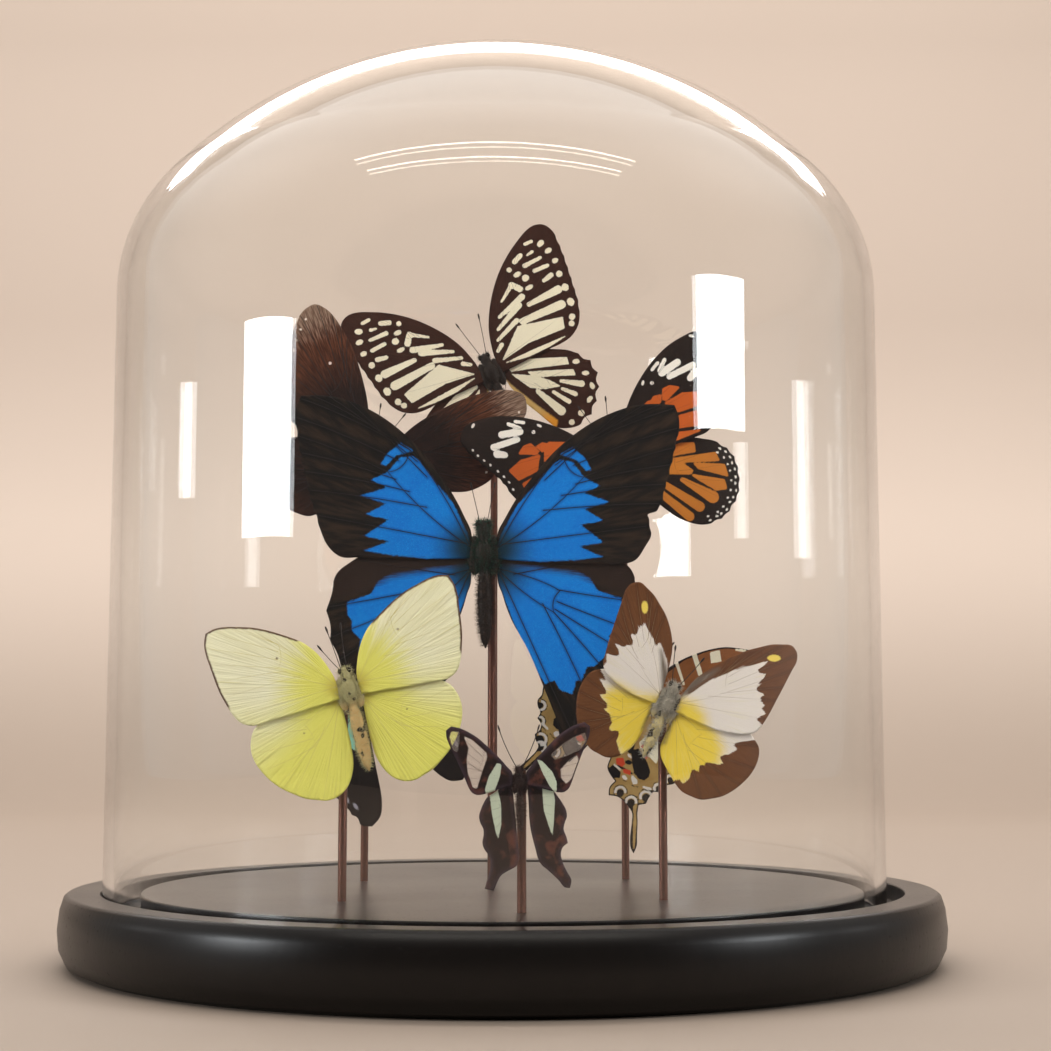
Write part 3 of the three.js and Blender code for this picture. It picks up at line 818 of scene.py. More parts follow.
def limb_paths(body, antennae):
    """Points with radii along two clubbed antennae and six folded legs, in the insect's own frame."""
    head, tail, thorax, abdomen = body
    length, opened = antennae
    paths = []
    for side in (-1, 1):
        tip = (side * length * sin(radians(opened)), head + length * cos(radians(opened)), thorax * 0.35)
        middle = (tip[0] * 0.62, head + (tip[1] - head) * 0.5, thorax * 0.5)
        start = (side * thorax * 0.25, head, thorax * 0.3)
        feeler = []
        for t in np.linspace(0, 1, 26):
            p = [s * (1 - t) ** 2 + (2 * m - (s + e) / 2) * 2 * t * (1 - t) + e * t ** 2
                 for s, m, e in zip(start, middle, tip)]
            club = 0.2 * np.exp(-((t - 0.93) / 0.06) ** 2)
            feeler.append((p, 0.11 + club * min(1, thorax / 2.5)))
        paths.append(feeler)
        for hip, knee, foot in ((0.55, 1.05, 0.3), (0, -0.2, -1.1), (-0.5, -1.2, -2.2)):
            joints = [(side * thorax * 0.45, thorax * hip, -thorax * 0.6),
                      (side * thorax * 1.15, thorax * knee, -thorax * 0.85),
                      (side * thorax * 0.75, thorax * foot, -thorax * 0.95)]
            leg = []
            for a, b in zip(joints, joints[1:]):
                for t in np.linspace(0, 1, 6)[:-1]:
                    leg.append(([p + (q - p) * t for p, q in zip(a, b)], 0.22 - 0.015 * len(leg)))
            leg.append((joints[-1], 0.06))
            paths.append(leg)
    return paths


def make_body(species, insect, body, antennae, skin, fur, fur_length):
    """The trunk of an insect, its antennae and legs, and its coat of fur."""
    trunk = make_trunk(species + "_trunk", insect, body, skin)
    tubes = [[(*(insect @ Vector(p)), max(r, 0.05) * MM) for p, r in path]
             for path in limb_paths(body, antennae)]
    feelers = grow_limbs(species + "_feelers_and_legs", tubes, 8, dark_skin)
    source = trunk.copy()
    source.data = trunk.data.copy()
    bpy.context.scene.collection.objects.link(source)
    small = body[2] <= 2
    settings = {"Hair": fur_length * MM, "Density": 1.6e7 if small else 7e6, "Material": fur,
                "Seed": len(species)}
    coat = run_nodes(source, fur_nodes, settings, species + "_fur")
    for piece in (trunk, feelers, coat):
        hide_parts(species + "_body")
        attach(piece, "root")
    return trunk, feelers, coat


def fur_tree():
    """Geometry Nodes: short pointed hairs that stand and lean at random over a body."""
    begin, node, end = nodes_tree("fur", Geometry="Geometry", Hair="Float", Density="Float", Seed="Int",
                                  Material="Material")
    seed = begin["Seed"]
    scatter = node("GeometryNodeDistributePointsOnFaces",
                   {"Mesh": begin["Geometry"], "Density": begin["Density"], "Seed": seed},
                   distribute_method="RANDOM")
    lean = node("FunctionNodeRandomValue", {0: (-0.5, -0.5, -0.5), 1: (0.5, 0.5, 0.5), "Seed": seed},
                data_type="FLOAT_VECTOR")
    way = node("ShaderNodeVectorMath", {0: scatter["Normal"], 1: lean[0]}, operation="ADD")
    aim = node("FunctionNodeAlignRotationToVector", {"Vector": way[0]}, axis="Z")
    long = node("FunctionNodeRandomValue", {2: 0.5, 3: 1.0, "Seed": seed}, data_type="FLOAT")
    size = node("ShaderNodeMath", {0: long[1], 1: begin["Hair"]}, operation="MULTIPLY")
    hair = node("GeometryNodeMeshCone",
                {"Vertices": 3, "Side Segments": 1, "Radius Top": 0.004, "Radius Bottom": 0.055,
                 "Depth": 1.0},
                fill_type="NONE")
    place = node("GeometryNodeInstanceOnPoints",
                 {"Points": scatter["Points"], "Instance": hair["Mesh"], "Rotation": aim[0],
                  "Scale": size[0]})
    return end(place[0])


fur_nodes = fur_tree()


def insect_skin(name, dark, pale, roughness=0.5):
    finish = Finish(name, Roughness=roughness, Specular_IOR_Level=0.2)
    mottle = finish.noise(900, 4)
    return finish.wear(Base_Color=finish.mix(mottle, dark, pale),
                       Normal=finish.bump(finish.noise(3000, 3), 0.4, 0.0002))


eye_black = insect_skin("compound_eye", tone(18, 12, 10), tone(46, 34, 28), 0.25)
dark_skin = insect_skin("dark_insect_skin", tone(24, 18, 15), tone(52, 38, 30))
dark_fur = insect_skin("dark_insect_fur", tone(34, 27, 22), tone(78, 62, 50), 0.7)


def dress(species, at, heading, raised, spread, body, antennae, patterns, venation, finish, vein_finish,
          vein_radius, skin=None, fur=None, fur_length=0.9, belly_out=False, bays=None):
    """Builds one spread butterfly around its five solids."""
    insect = insect_place(at, heading, belly_out)
    names = list(dict.fromkeys(name for pattern in patterns.values() for name in pattern))
    for wing in ("forewing", "hindwing"):
        for index, (word, side) in enumerate((("left", -1), ("right", 1))):
            place = wing_place(insect, wing, side, raised[index], spread[wing][index])
            node = f"{species}_{wing}_{word}"
            markings = patterns.get(f"{wing}_{word}", patterns.get(wing))
            rows = (bays or {}).get(wing, [])
            for piece in make_wing(node, place, markings, names, venation[wing], vein_radius, finish,
                                   vein_finish, rows):
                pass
    for piece in make_body(species, insect, body, antennae, skin or dark_skin, fur or dark_fur, fur_length):
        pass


def blue_scales():
    finish = Finish("blue_scales", Roughness=0.5, Specular_IOR_Level=0.12)
    dust = finish.noise(5000, 2)
    vein = finish.attribute("vein")
    dark = finish.mix(finish.smooth(finish.fan(3, 0.12), 0.35, 0.7), tone(18, 10, 6), tone(44, 30, 19))
    dark = finish.mix(finish.smooth(vein, 1.6, 0.4) * 0.8, dark, tone(9, 6, 5))
    shade = finish.mix(finish.noise(90, 3), tone(4, 88, 182), tone(6, 118, 198))
    azure = finish.mix(finish.smooth(dust, 0.45, 0.75), shade, tone(26, 140, 212))
    azure = finish.mix(finish.smooth(finish.fan(9, 0.3), 0.6, 0.8) * 0.4, azure, tone(10, 46, 140))
    azure = finish.mix(finish.smooth(vein, 1.0, 0.1) * 0.45, azure, tone(6, 34, 96))
    azure = finish.mix(finish.smooth(finish.attribute("reach"), 13, 2), azure, tone(10, 42, 58))
    ragged = 0.5 * finish.noise(1600, 3) + 1.3 * finish.fan(20, 0.5) - 0.9
    field = finish.mark("blue", ragged, 0.18)
    smoke = finish.mark("smoke", 3 * finish.fan(8, 0.25) - 1.5, 1.6)
    colour = finish.mix(smoke, finish.mix(field, dark, azure), tone(40, 26, 19))
    return finish.wear(Base_Color=colour, Roughness=0.62 - 0.2 * field,
                       Normal=finish.ridged(12, dust, 0.3, 0.3, 0.0003))


def blue_swallowtail_fur():
    """Dark green hair on the thorax and brown on the abdomen below it."""
    finish = Finish("blue_swallowtail_fur", Roughness=0.6, Specular_IOR_Level=0.2)
    height = finish.node("ShaderNodeSeparateXYZ", {}, {0: finish.coordinates}, "Z")
    mottle = finish.noise(900, 4)
    brown = finish.mix(mottle, tone(22, 12, 7), tone(66, 41, 27))
    green = finish.mix(mottle, tone(6, 20, 14), tone(30, 82, 62))
    colour = finish.mix(finish.smooth(height, 108 * MM, 111 * MM), brown, green)
    return finish.wear(Base_Color=colour, Normal=finish.bump(finish.noise(3000, 3), 0.4, 0.0002))


black_vein = insect_skin("black_vein", tone(14, 9, 8), tone(34, 23, 18), 0.45)
BLUE_FORE_RAYS = [
    ("upper", 0.72, -0.34), ("upper", 0.88, -0.2), ("upper", 1, -0.09), ("upper", 1, 0.02),
    ("end", 0.5, 0.16), ("lower", 1, 0.3), ("lower", 0.9, 0.42), ("lower", 0.74, 0.56),
    ("lower", 0.53, 0.7), ("lower", 0.05, 0.9),
]
BLUE_HIND_RAYS = [
    ("upper", 0.25, -0.12), ("upper", 0.95, 0.2), ("end", 0.5, 0.36), ("end", 0.85, 0.5),
    ("lower", 1, 0.66), ("lower", 0.8, 0.82), ("upper", 0, 1.1),
]
dress(
    "blue_swallowtail", (-5.7, -9, 116), 91, (8, 8),
    {"forewing": (-2.8, 2.2), "hindwing": (0.6, 0.9)}, (7.5, -28, 3.6, 2.3), (13, 16),
    {
        "forewing": {
            "blue": [
                patch((4, 1.3), (5, 4.9), (9.6, 13.6), (14.6, 19.2), (19.6, 25.3), (21.7, 26.8),
                      (25.4, 26.1), (28.7, 21.7), (33.5, 19.2), (28.8, 17.1), (36.3, 14.5),
                      (28.9, 12.5), (34.7, 9.1), (27.9, 7.9), (34.8, 2.9), (27.6, 1.6),
                      (34.7, -1.3), (26.6, -2.3), (16.5, -2.9), (4, -2.4)),
                patch((21.7, 28.2), (25.3, 30.4), (29, 27.2), (30.9, 23.9), (29.4, 23.4), (26.6, 26.6)),
            ],
            "smoke": [patch((3, -4), (14, -3.2), (30, -3), (46, -4), (46, -8), (3, -8))],
        },
        "hindwing": {
            "blue": [
                patch((3, -3.6), (6.8, -3.4), (16.3, -4.4), (26.4, -5.4), (30.7, -8), (32.9, -11.6),
                      (39.7, -14), (39.6, -17.6), (38.4, -19), (38.6, -22), (36.1, -24.5), (36.6, -28),
                      (34.4, -31), (32, -33.2), (29.6, -33.6), (28.1, -37.4), (26.6, -37.2),
                      (25.5, -41.2), (22, -40), (20.4, -37.2), (17.6, -38.2), (13.3, -31.6),
                      (8.3, -19.8), (4.2, -9)),
            ],
            "smoke": [patch((3, 5), (46, 5), (44, -12), (37, -12), (32, -9.4), (27, -7), (16, -5.2),
                            (3, -3.4))],
        },
    },
    {
        "forewing": ((4, 1), ((22.5, 28.4), (28.7, 21.7)), (54.5, 42.6), (47.5, 4.5), BLUE_FORE_RAYS),
        "hindwing": ((4, -5), ((22, -11.6), (20.2, -17.7)), (42, -5), (26, -50), BLUE_HIND_RAYS),
    },
    blue_scales(), black_vein, 0.15,
    insect_skin("blue_swallowtail_skin", tone(16, 11, 8), tone(48, 32, 22)), blue_swallowtail_fur(), 1.6,
    bays={"forewing": [((55.2, 34), (49, 6), 8, 0.35)], "hindwing": [((44, -8), (28.5, -43.5), 5, 0.9)]},
)


# ---------------------------------------------------------------------------------------------
# Zebra swallowtail: the highest butterfly, at the back, cream between broad brown veins, with a
# row of cream spots inside a brown border and an ochre fold beside the abdomen.
def zebra_scales():
    finish = Finish("zebra_scales", Roughness=0.7, Specular_IOR_Level=0.12)
    dust = finish.noise(4500, 2)
    brown = finish.mix(finish.fan(5, 0.3), tone(34, 17, 11), tone(68, 36, 24))
    cream = finish.mix(dust, tone(226, 212, 182), tone(236, 226, 200))
    ragged = 0.45 * finish.noise(1500, 3) - 0.22
    colour = finish.mix(finish.mark("cream", ragged - 0.16, 0.12), brown, cream)
    rise = finish.smooth(finish.attribute("headward"), -24, -17)
    ochre = finish.mix(rise, tone(216, 142, 40), tone(196, 160, 96))
    colour = finish.mix(finish.mark("ochre", ragged, 0.4), colour, ochre)
    return finish.wear(Base_Color=colour, Normal=finish.ridged(14, dust, 1, 0.25, 0.0003))


dress(
    "zebra_swallowtail", (-4.9, 49.5, 180), 114.3, (6, 6),
    {"forewing": (1.2, -2.9), "hindwing": (0, -2.9)}, (5.2, -21, 3, 1.8), (14.5, 16),
    {
        "forewing": {"cream": [
            streak(29, 31.9, 0.4, 31.3, 31.7, 0.4), streak(28, 28.3, 0.2, 29.9, 28.6, 0.4),
            streak(23.4, 28.4, 0.7, 26, 29.3, 0.6), streak(25.7, 25.6, 0.6, 31.4, 25.6, 0.4),
            streak(27.7, 22.6, 0.5, 32.3, 22.2, 0.5), streak(29, 18.3, 0.5, 31.9, 18.8, 0.7),
            streak(19, 22.2, 0.7, 20.8, 19.6, 0.9), streak(18.9, 22, 0.6, 13.6, 18.7, 0.2),
            streak(20.2, 17, 0.9, 10.7, 14.6, 0.4), streak(18.1, 15, 0.9, 8.5, 11.2, 0.4),
            streak(15.1, 10.9, 0.7, 6.8, 8.1, 0.4), streak(7.2, 6.2, 0.6, 5.1, 4.9, 0.4),
            streak(21.1, 13.7, 0.6, 31.7, 13.5, 1.2), streak(16.8, 9.8, 0.9, 30.4, 8.7, 1.3),
            spot(33.6, 29.7, 1.1, 0.8, 20), spot(34.8, 26.4, 1, 0.7), spot(20.6, 26.8, 0.7),
            spot(22.3, 24.2, 1.1, 0.7), spot(24.1, 21.9, 1), spot(35.2, 22.4, 0.9, 0.7),
            spot(34.4, 17.9, 0.9), spot(34.1, 13.1, 1, 1.1), spot(33.5, 8, 1, 1.2), spot(31.7, 3.5, 0.9),
            spot(30.5, 1.6, 0.8), spot(23.7, 18.6, 1.1, 0.6),
            patch((5.4, 1.6), (14.6, 9), (28.8, 4.8), (27.7, 1.4), (15.2, 2.7)),
            patch((5.9, 0.3), (14.5, -0.1), (26.6, -1.1), (20.9, -1.6), (12.9, -1.3)),
        ]},
        "hindwing": {
            "cream": [
                patch((6, -1.4), (12.2, -1.7), (24, -7.3), (23.6, -9.4), (13.1, -5.3), (6, -2.8)),
                patch((10.8, -5.6), (24.1, -11.8), (23.8, -13.6), (11.8, -7.9)),
                patch((5.8, -3.8), (11.9, -7.7), (15.6, -11.3), (17.8, -14.5), (13.3, -13.1), (9.1, -10.4)),
                streak(18.9, -13.3, 0.4, 24.4, -17.2, 0.9), streak(18.1, -15.7, 0.4, 21.1, -19.2, 0.6),
                streak(15.1, -15.3, 0.4, 18.1, -20.4, 0.6), streak(10.7, -12.7, 0.6, 14.5, -21.9, 1.3),
                spot(26.1, -9.9, 1, 0.7, -20), spot(27.1, -14.7, 1, 0.6, -30), spot(27.1, -19.4, 0.6, 1),
                spot(24.4, -22.9, 1, 0.6, 30), spot(19.9, -25.6, 0.9), spot(15.8, -26.8, 0.8),
            ],
            "ochre": [patch((1.9, -1), (2.8, -2.9), (4.3, -7.4), (7.9, -15.4), (12.1, -24.1), (10, -27),
                            (1, -20))],
        },
    },
    {
        "forewing": ((3.3, 1.5), ((19.5, 23.5), (20.3, 15)), (31, 35.6), (36, 7.5), FORE_RAYS),
        "hindwing": ((3.3, -1.5), ((15.5, -9), (15.8, -15)), (25, -5), (18, -28.8), HIND_RAYS),
    },
    zebra_scales(), insect_skin("zebra_vein", tone(50, 27, 18), tone(78, 46, 32)), 0.06,
    bays={"forewing": [((38.9, 30), (35, 4), 7, 0.3)], "hindwing": [((28, -8), (18, -28.6), 6, 1)]},
)


# ---------------------------------------------------------------------------------------------
# Brown crow: velvety red-brown wings with fine dark veins and a few white dots along the edge; the
# pale grey-brown streaks at the tips are a painted sheen.
def crow_scales():
    finish = Finish("crow_scales", Roughness=0.5, Specular_IOR_Level=0.12)
    dust = finish.noise(4500, 2)
    streaks = finish.smooth(finish.fan(11, 0.25), 0.35, 0.7)
    inner = finish.mix(streaks, tone(20, 10, 7), tone(46, 25, 18))
    outer = finish.mix(streaks, tone(58, 28, 15), tone(100, 56, 34))
    away = finish.attribute("reach") + 5 * finish.noise(160, 3)
    brown = finish.mix(finish.smooth(away, 20, 38), inner, outer)
    # Painted sheen: pale grey-brown streaks that spread over the wing towards its tips
    tip = finish.smooth(finish.attribute("outward") + finish.attribute("headward") + 6 * streaks, 57, 72)
    colour = finish.mix(tip, brown, finish.mix(streaks, tone(104, 78, 62), tone(150, 124, 106)))
    colour = finish.mix(finish.mark("dots", 0, 0.12), colour, tone(228, 212, 196))
    return finish.wear(Base_Color=colour, Normal=finish.ridged(12, dust, 0.3, 0.4, 0.0004))


dress(
    "brown_crow", (-40.7, 14.2, 145.4), 67.5, (6, -5),
    {"forewing": (-2.2, -1.4), "hindwing": (0, 0)}, (6.5, -21, 3.2, 2.2), (12, 20),
    {
        "forewing": {"dots": [edge_spots((38.2, 33), (35.8, 8.5), 7, 2.2, 0.4, 0.4), spot(24, 22, 0.5)]},
        "hindwing": {"dots": [edge_spots((30.5, -9), (18, -22.8), 6, 2, 0.35, 0.35)]},
    },
    {
        "forewing": ((3.5, 1.5), ((19, 22), (20, 14)), (29, 35.4), (35.8, 8.5), FORE_RAYS),
        "hindwing": ((3.5, -1), ((15, -5), (13, -11)), (26, -3), (18, -22.8), HIND_RAYS),
    },
    crow_scales(), black_vein, 0.15,
    bays={"forewing": [((38.5, 31), (36, 9), 6, 0.35)], "hindwing": [((30.5, -9), (18, -22.8), 6, 0.5)]},
)


# ---------------------------------------------------------------------------------------------
# Orange tiger: orange cells between thick black veins, a black tip with a slanting white band, and
# a black border with two rows of white dots.
def tiger_scales():
    finish = Finish("tiger_scales", Roughness=0.65, Specular_IOR_Level=0.12)
    dust = finish.noise(4500, 2)
    black = finish.mix(finish.fan(6, 0.3), tone(16, 9, 7), tone(44, 28, 20))
    rise = finish.smooth(finish.attribute("headward"), -8, 2)
    amber = finish.mix(rise, tone(196, 122, 40), tone(192, 80, 22))
    amber = finish.mix(dust * 0.7, amber, tone(178, 96, 36))
    ragged = 0.3 * finish.noise(1800, 3) - 0.15
    colour = finish.mix(finish.mark("amber", ragged - 0.34), black, amber)
    colour = finish.mix(finish.mark("white", ragged, 0.1), colour, tone(236, 226, 214))
    return finish.wear(Base_Color=colour, Normal=finish.ridged(12, dust, 0.5, 0.3, 0.0003))


dress(
    "orange_tiger", (33.1, 21, 147.7), 110, (15, 5),
    {"forewing": (8.8, 2.1), "hindwing": (5, 1)}, (6, -21, 3, 1.9), (13.5, 19.5),
    {
        "forewing": {
            "white": [
                streak(20.1, 22, 0.5, 22.4, 23.5, 0.5), streak(22.2, 21.1, 0.6, 24.7, 23.7, 0.6),
                streak(22.6, 20.1, 1.1, 28.2, 21.7, 1.1), streak(24.5, 18.3, 0.9, 32.4, 19.4, 1),
                streak(30.4, 15.8, 1, 32.4, 17.1, 1.2), streak(15.9, 18.7, 0.4, 16.4, 19.4, 0.4),
                streak(34.5, 28.3, 0.4, 35.2, 27.8, 0.4), spot(18.8, 18.1, 0.6),
                edge_spots((40.6, 22.8), (34.4, 4), 8, 1.4, 0.5, 0.35),
            ],
            "amber": [
                patch((16.7, 12.8), (18, 13.8), (20.1, 13.6), (19.2, 11.6)),
                patch((20.5, 12.2), (21.5, 15.2), (23.8, 15.4), (26, 14.2), (21.3, 11.8)),
                patch((20.8, 10.8), (26.6, 12), (31.4, 10.8), (30.2, 7.2), (23.7, 7.2), (21.9, 9.7)),
                patch((23.9, 5.7), (29.6, 5.4), (29.6, 1.1), (22.8, 2.4), (14, 1.6), (18, 4.4)),
                patch((4.5, 3.6), (10, 10), (16, 13), (18.6, 11), (20, 8.6), (14, 5), (6, 2)),
                patch((5, 1), (12, 2.6), (20, 1.2), (28, -0.4), (16, -1.2), (5, -1.2)),
            ],
        },
        "hindwing": {
            "amber": [
                patch((5, 0.2), (12, 0), (25, -4), (24.5, -6.4), (14, -4.6), (5, -1.2)),
                patch((17, -6.4), (30.2, -9), (30.5, -11.4), (19.9, -8.2)),
                patch((5, -2), (16.1, -6), (18.4, -6.8), (21.8, -11.8), (20.8, -12.4), (13.7, -9.7)),
                patch((23.3, -10.1), (31.6, -13.4), (31.5, -16.8), (23.9, -11.7)),
                patch((21.6, -13.2), (30, -17.8), (29.8, -20.4), (27, -19.8), (23.3, -15.5)),
                streak(18.1, -13.4, 0.4, 25.1, -21.6, 1.5), streak(10.7, -10.7, 0.5, 20.3, -23, 1.2),
                streak(7.9, -11, 0.6, 16.4, -24.8, 1.1), streak(4.6, -7, 0.6, 9, -16.5, 0.9),
            ],
            "white": [
                edge_spots((32, -6), (21, -29), 14, 1, 0.55, 0.35),
                edge_spots((32, -6), (21, -29), 10, 2.4, 0.45, 0.35),
            ],
        },
    },
    {
        "forewing": ((3.4, 1.5), ((19, 18.5), (20.5, 11)), (36, 29.2), (34.4, 4), FORE_RAYS),
        "hindwing": ((3.4, -1), ((18, -6.6), (18, -12.6)), (25, -2), (21, -29), HIND_RAYS),
    },
    tiger_scales(), black_vein, 0.06,
    bays={"forewing": [((40.8, 24), (34.6, 6), 7, 0.35)], "hindwing": [((32, -6), (22, -28.8), 9, 0.5)]},
)


# ---------------------------------------------------------------------------------------------
# Lemon yellow: thin powdery wings, lemon near the body and cream outwards, with a fine dark edge
# at the tip and a tan body.
def lemon_scales():
    finish = Finish("lemon_scales", Roughness=0.75, Specular_IOR_Level=0.12)
    dust = finish.noise(4500, 2)
    fan = finish.attribute("fan")
    creases = finish.fan(4.5, 0.05, 3)
    cream = finish.mix(finish.noise(120, 2), tone(222, 214, 168), tone(232, 226, 196))
    lemon = finish.mix(dust, tone(216, 208, 84), tone(227, 221, 118))
    away = finish.attribute("reach") + 12 * finish.fan(2, 0.02, 2) - 6
    faded = finish.smooth(away, 7, 19) * finish.smooth(fan, 12.5, 9) * finish.smooth(fan, -7, 2)
    colour = finish.mix(faded, lemon, cream)
    # Painted shade: the colour darkens to a dull yellow along the creases of the thin wings
    colour = finish.mix(finish.smooth(creases, 0.55, 0.75) * 0.4, colour, tone(182, 168, 88))
    colour = finish.mix(finish.smooth(finish.attribute("reach"), 5, 0) * 0.6, colour, tone(184, 156, 50))
    brown = finish.mark("tip", 0.5 * finish.noise(1500, 3) - 0.25, 0.2)
    colour = finish.mix(brown, colour, tone(92, 66, 48))
    return finish.wear(Base_Color=colour, Normal=finish.bump(creases + 0.1 * dust, 0.45, 0.0009))


def tip_hem(width, above, beyond):
    """A band along the edge that shows only towards the tip of the wing."""
    def distance(points, loop):
        away = above - points @ np.array((0.5, 0.85))
        return np.maximum(-to_edge(points, loop) - width, (away + beyond) * 0.3)
    return distance


def spotted_skin(name, tans, greys):
    """One colour on the abdomen and another on the thorax, with dark bare spots on both."""
    finish = Finish(name, Roughness=0.65, Specular_IOR_Level=0.2)
    tan = finish.mix(finish.noise(500, 3), *tans)
    grey = finish.mix(finish.noise(700, 3), *greys)
    colour = finish.mix(finish.smooth(finish.attribute("headward"), -5, -2), tan, grey)
    colour = finish.mix(finish.smooth(finish.noise(420, 1), 0.6, 0.68), colour, tone(56, 46, 34))
    return finish.wear(Base_Color=colour, Normal=finish.bump(finish.noise(3000, 3), 0.4, 0.0002))


pale_fur = insect_skin("pale_insect_fur", tone(150, 142, 100), tone(214, 204, 152), 0.8)
yellow_vein = insect_skin("yellow_vein", tone(176, 160, 84), tone(206, 190, 116), 0.6)
dress(
    "lemon_yellow", (-40, -53, 75.2), 104.4, (7, 7),
    {"forewing": (0.2, 1.6), "hindwing": (0.5, 2.8)}, (4.8, -22, 2.7, 2.1), (13, 9),
    {
        "forewing": {"tip": [tip_hem(0.5, 18, 0), spot(16.2, 12.6, 0.35)]},
        "hindwing": {"tip": [spot(14, -8, 0.3)]},
    },
    {
        "forewing": ((2.9, 1.5), ((15, 16), (16.6, 10)), (27, 23.8), (30.8, 1.5), FORE_RAYS),
        "hindwing": ((2.9, -1.5), ((13.5, -6), (12, -12)), (21, -0.6), (17.8, -24.6), HIND_RAYS),
    },
    lemon_scales(), yellow_vein, 0.07,
    spotted_skin("tan_insect_skin", (tone(186, 148, 88), tone(214, 184, 130)),
                 (tone(140, 130, 88), tone(184, 176, 130))),
    pale_fur, 1.3,
)


# ---------------------------------------------------------------------------------------------
# Brown-bordered white: white wings that are yellow at the root and on the hindwings, inside a wide
# brown border with a jagged inner edge and a yellow spot near each tip; a grey hairy body.
def bordered_scales():
    finish = Finish("bordered_scales", Roughness=0.7, Specular_IOR_Level=0.12)
    dust = finish.noise(4500, 2)
    vein = finish.attribute("vein")
    brown = finish.mix(finish.fan(7, 0.3), tone(84, 48, 24), tone(116, 72, 40))
    white = finish.mix(dust, tone(212, 200, 190), tone(230, 219, 209))
    yellow = finish.mix(finish.fan(8, 0.3), tone(222, 188, 46), tone(234, 206, 84))
    brown = finish.mix(finish.smooth(vein, 0.7, 0.1) * 0.5, brown, tone(66, 36, 18))
    ragged = 0.6 * finish.noise(1300, 3) + 3.2 * finish.fan(11, 0.12) - 1.9
    pale = finish.mix(finish.smooth(finish.attribute("yellow") + 1.5 * ragged, 2.6, -2.2), white, yellow)
    pale = finish.mix(finish.smooth(finish.fan(6, 0.1), 0.5, 0.75) * 0.4, pale, tone(216, 204, 150))
    ragged = 0.4 * finish.noise(1300, 3) + 1.2 * finish.fan(14, 0.2)
    ragged = ragged + 1.5 * finish.smooth(vein, 1.7, 0.2) - 1.3
    colour = finish.mix(finish.mark("pale", ragged), brown, pale)
    spots = finish.mark("spots", 0.3 * finish.noise(1800, 3) - 0.15)
    colour = finish.mix(spots, colour, tone(232, 204, 92))
    dusk = finish.mark("dusk", 1.6 * finish.fan(9, 0.3) - 0.8, 0.9)
    colour = finish.mix(dusk, colour, tone(104, 90, 78))
    return finish.wear(Base_Color=colour, Normal=finish.ridged(12, dust, 0.4, 0.35, 0.0003))


# Its wings were pulled sideways when it was set, so the same markings lie further out on the right.
dress(
    "brown_bordered_white", (43.8, -48.6, 71.9), 66, (7, 7),
    {"forewing": (1.1, -0.7), "hindwing": (-1.2, 0.4)}, (4.6, -16, 2.6, 1.7), (11, 22),
    {
        "forewing_right": {
            "pale": [
                patch((2, 3.4), (4, 5.3), (7, 10.2), (10.2, 13.3), (14.2, 17.3), (17.2, 19),
                      (20.1, 19.8), (19.4, 17.6), (21.8, 16), (20.7, 13.1), (23.5, 10.4), (22.6, 8),
                      (25.1, 6.4), (24, 4.8), (25.6, 2.8), (25, 0.6), (14, -2), (2, -3)),
            ],
            "spots": [spot(21.1, 21.7, 1.7, 0.9, 22)],
            "yellow": [patch((2, 2.4), (6.7, 2.6), (10, 1), (12, -2), (12, -4), (2, -4))],
            "dusk": [streak(2, 4, 1.6, 9, 13.4, 0.3)],
        },
        "forewing_left": {
            "pale": [
                patch((2, 3.4), (4.7, 9.7), (8.7, 13.9), (11.4, 16.4), (14.1, 17.9), (15.6, 16.1),
                      (15.2, 14.4), (17.4, 12.4), (15.6, 11), (18.5, 9), (17.2, 7.7), (19.6, 5.3),
                      (18.7, 3.7), (19.6, 1), (12, -2), (2, -3)),
            ],
            "spots": [spot(15.5, 20.9, 1.7, 0.85, 66)],
            "yellow": [patch((2, 1), (8, -1), (16, -0.6), (16, -4), (2, -4))],
            "dusk": [streak(2, 4, 1.4, 7, 12, 0.3)],
        },
        "hindwing_right": {
            "pale": [
                patch((0.5, -6.5), (1.5, 2), (9.3, 3.4), (22, 3.4), (25, 1.6), (22.4, -1.8), (20.1, -5),
                      (19.3, -8.3), (15.7, -11.7), (13, -15.5), (11.2, -18.9), (8, -18), (4, -13)),
            ],
            "yellow": [patch((0, 2), (5, 3), (10, 0.4), (15, -2), (18, -5), (19, -9), (12, -19), (0, -19))],
            "dusk": [streak(2.4, -2, 0.9, 3.6, -10, 0.2)],
        },
        "hindwing_left": {
            "pale": [
                patch((1.7, -3.8), (2.1, 2), (11, 3.8), (19, 2.4), (21.3, 0.3), (17.8, -2.5), (16.4, -6.3),
                      (13.8, -9.5), (11.4, -12.1), (8.4, -13.7), (5.2, -17.3), (2, -14), (1.4, -11)),
            ],
            "yellow": [patch((0, 1), (4, 0.6), (10, -1), (14, -2), (17, -5), (12, -13), (5, -18),
                             (0, -12))],
            "dusk": [streak(2.4, -2, 0.8, 3, -9, 0.2)],
        },
    },
    {
        "forewing": ((2.8, 1.2), ((11.5, 14), (13.5, 8.8)), (16.8, 24.8), (23.2, 8), FORE_RAYS),
        "hindwing": ((2.8, -1), ((11.5, -4), (9.8, -9)), (19.5, 2), (15.8, -19.7), HIND_RAYS),
    },
    bordered_scales(), insect_skin("brown_vein", tone(120, 92, 60), tone(160, 130, 90)), 0.06,
    spotted_skin("grey_insect_skin", (tone(170, 148, 96), tone(212, 196, 146)),
                 (tone(84, 76, 66), tone(190, 180, 162))),
    insect_skin("grey_insect_fur", tone(104, 96, 84), tone(208, 200, 184), 0.8), 1.5,
)


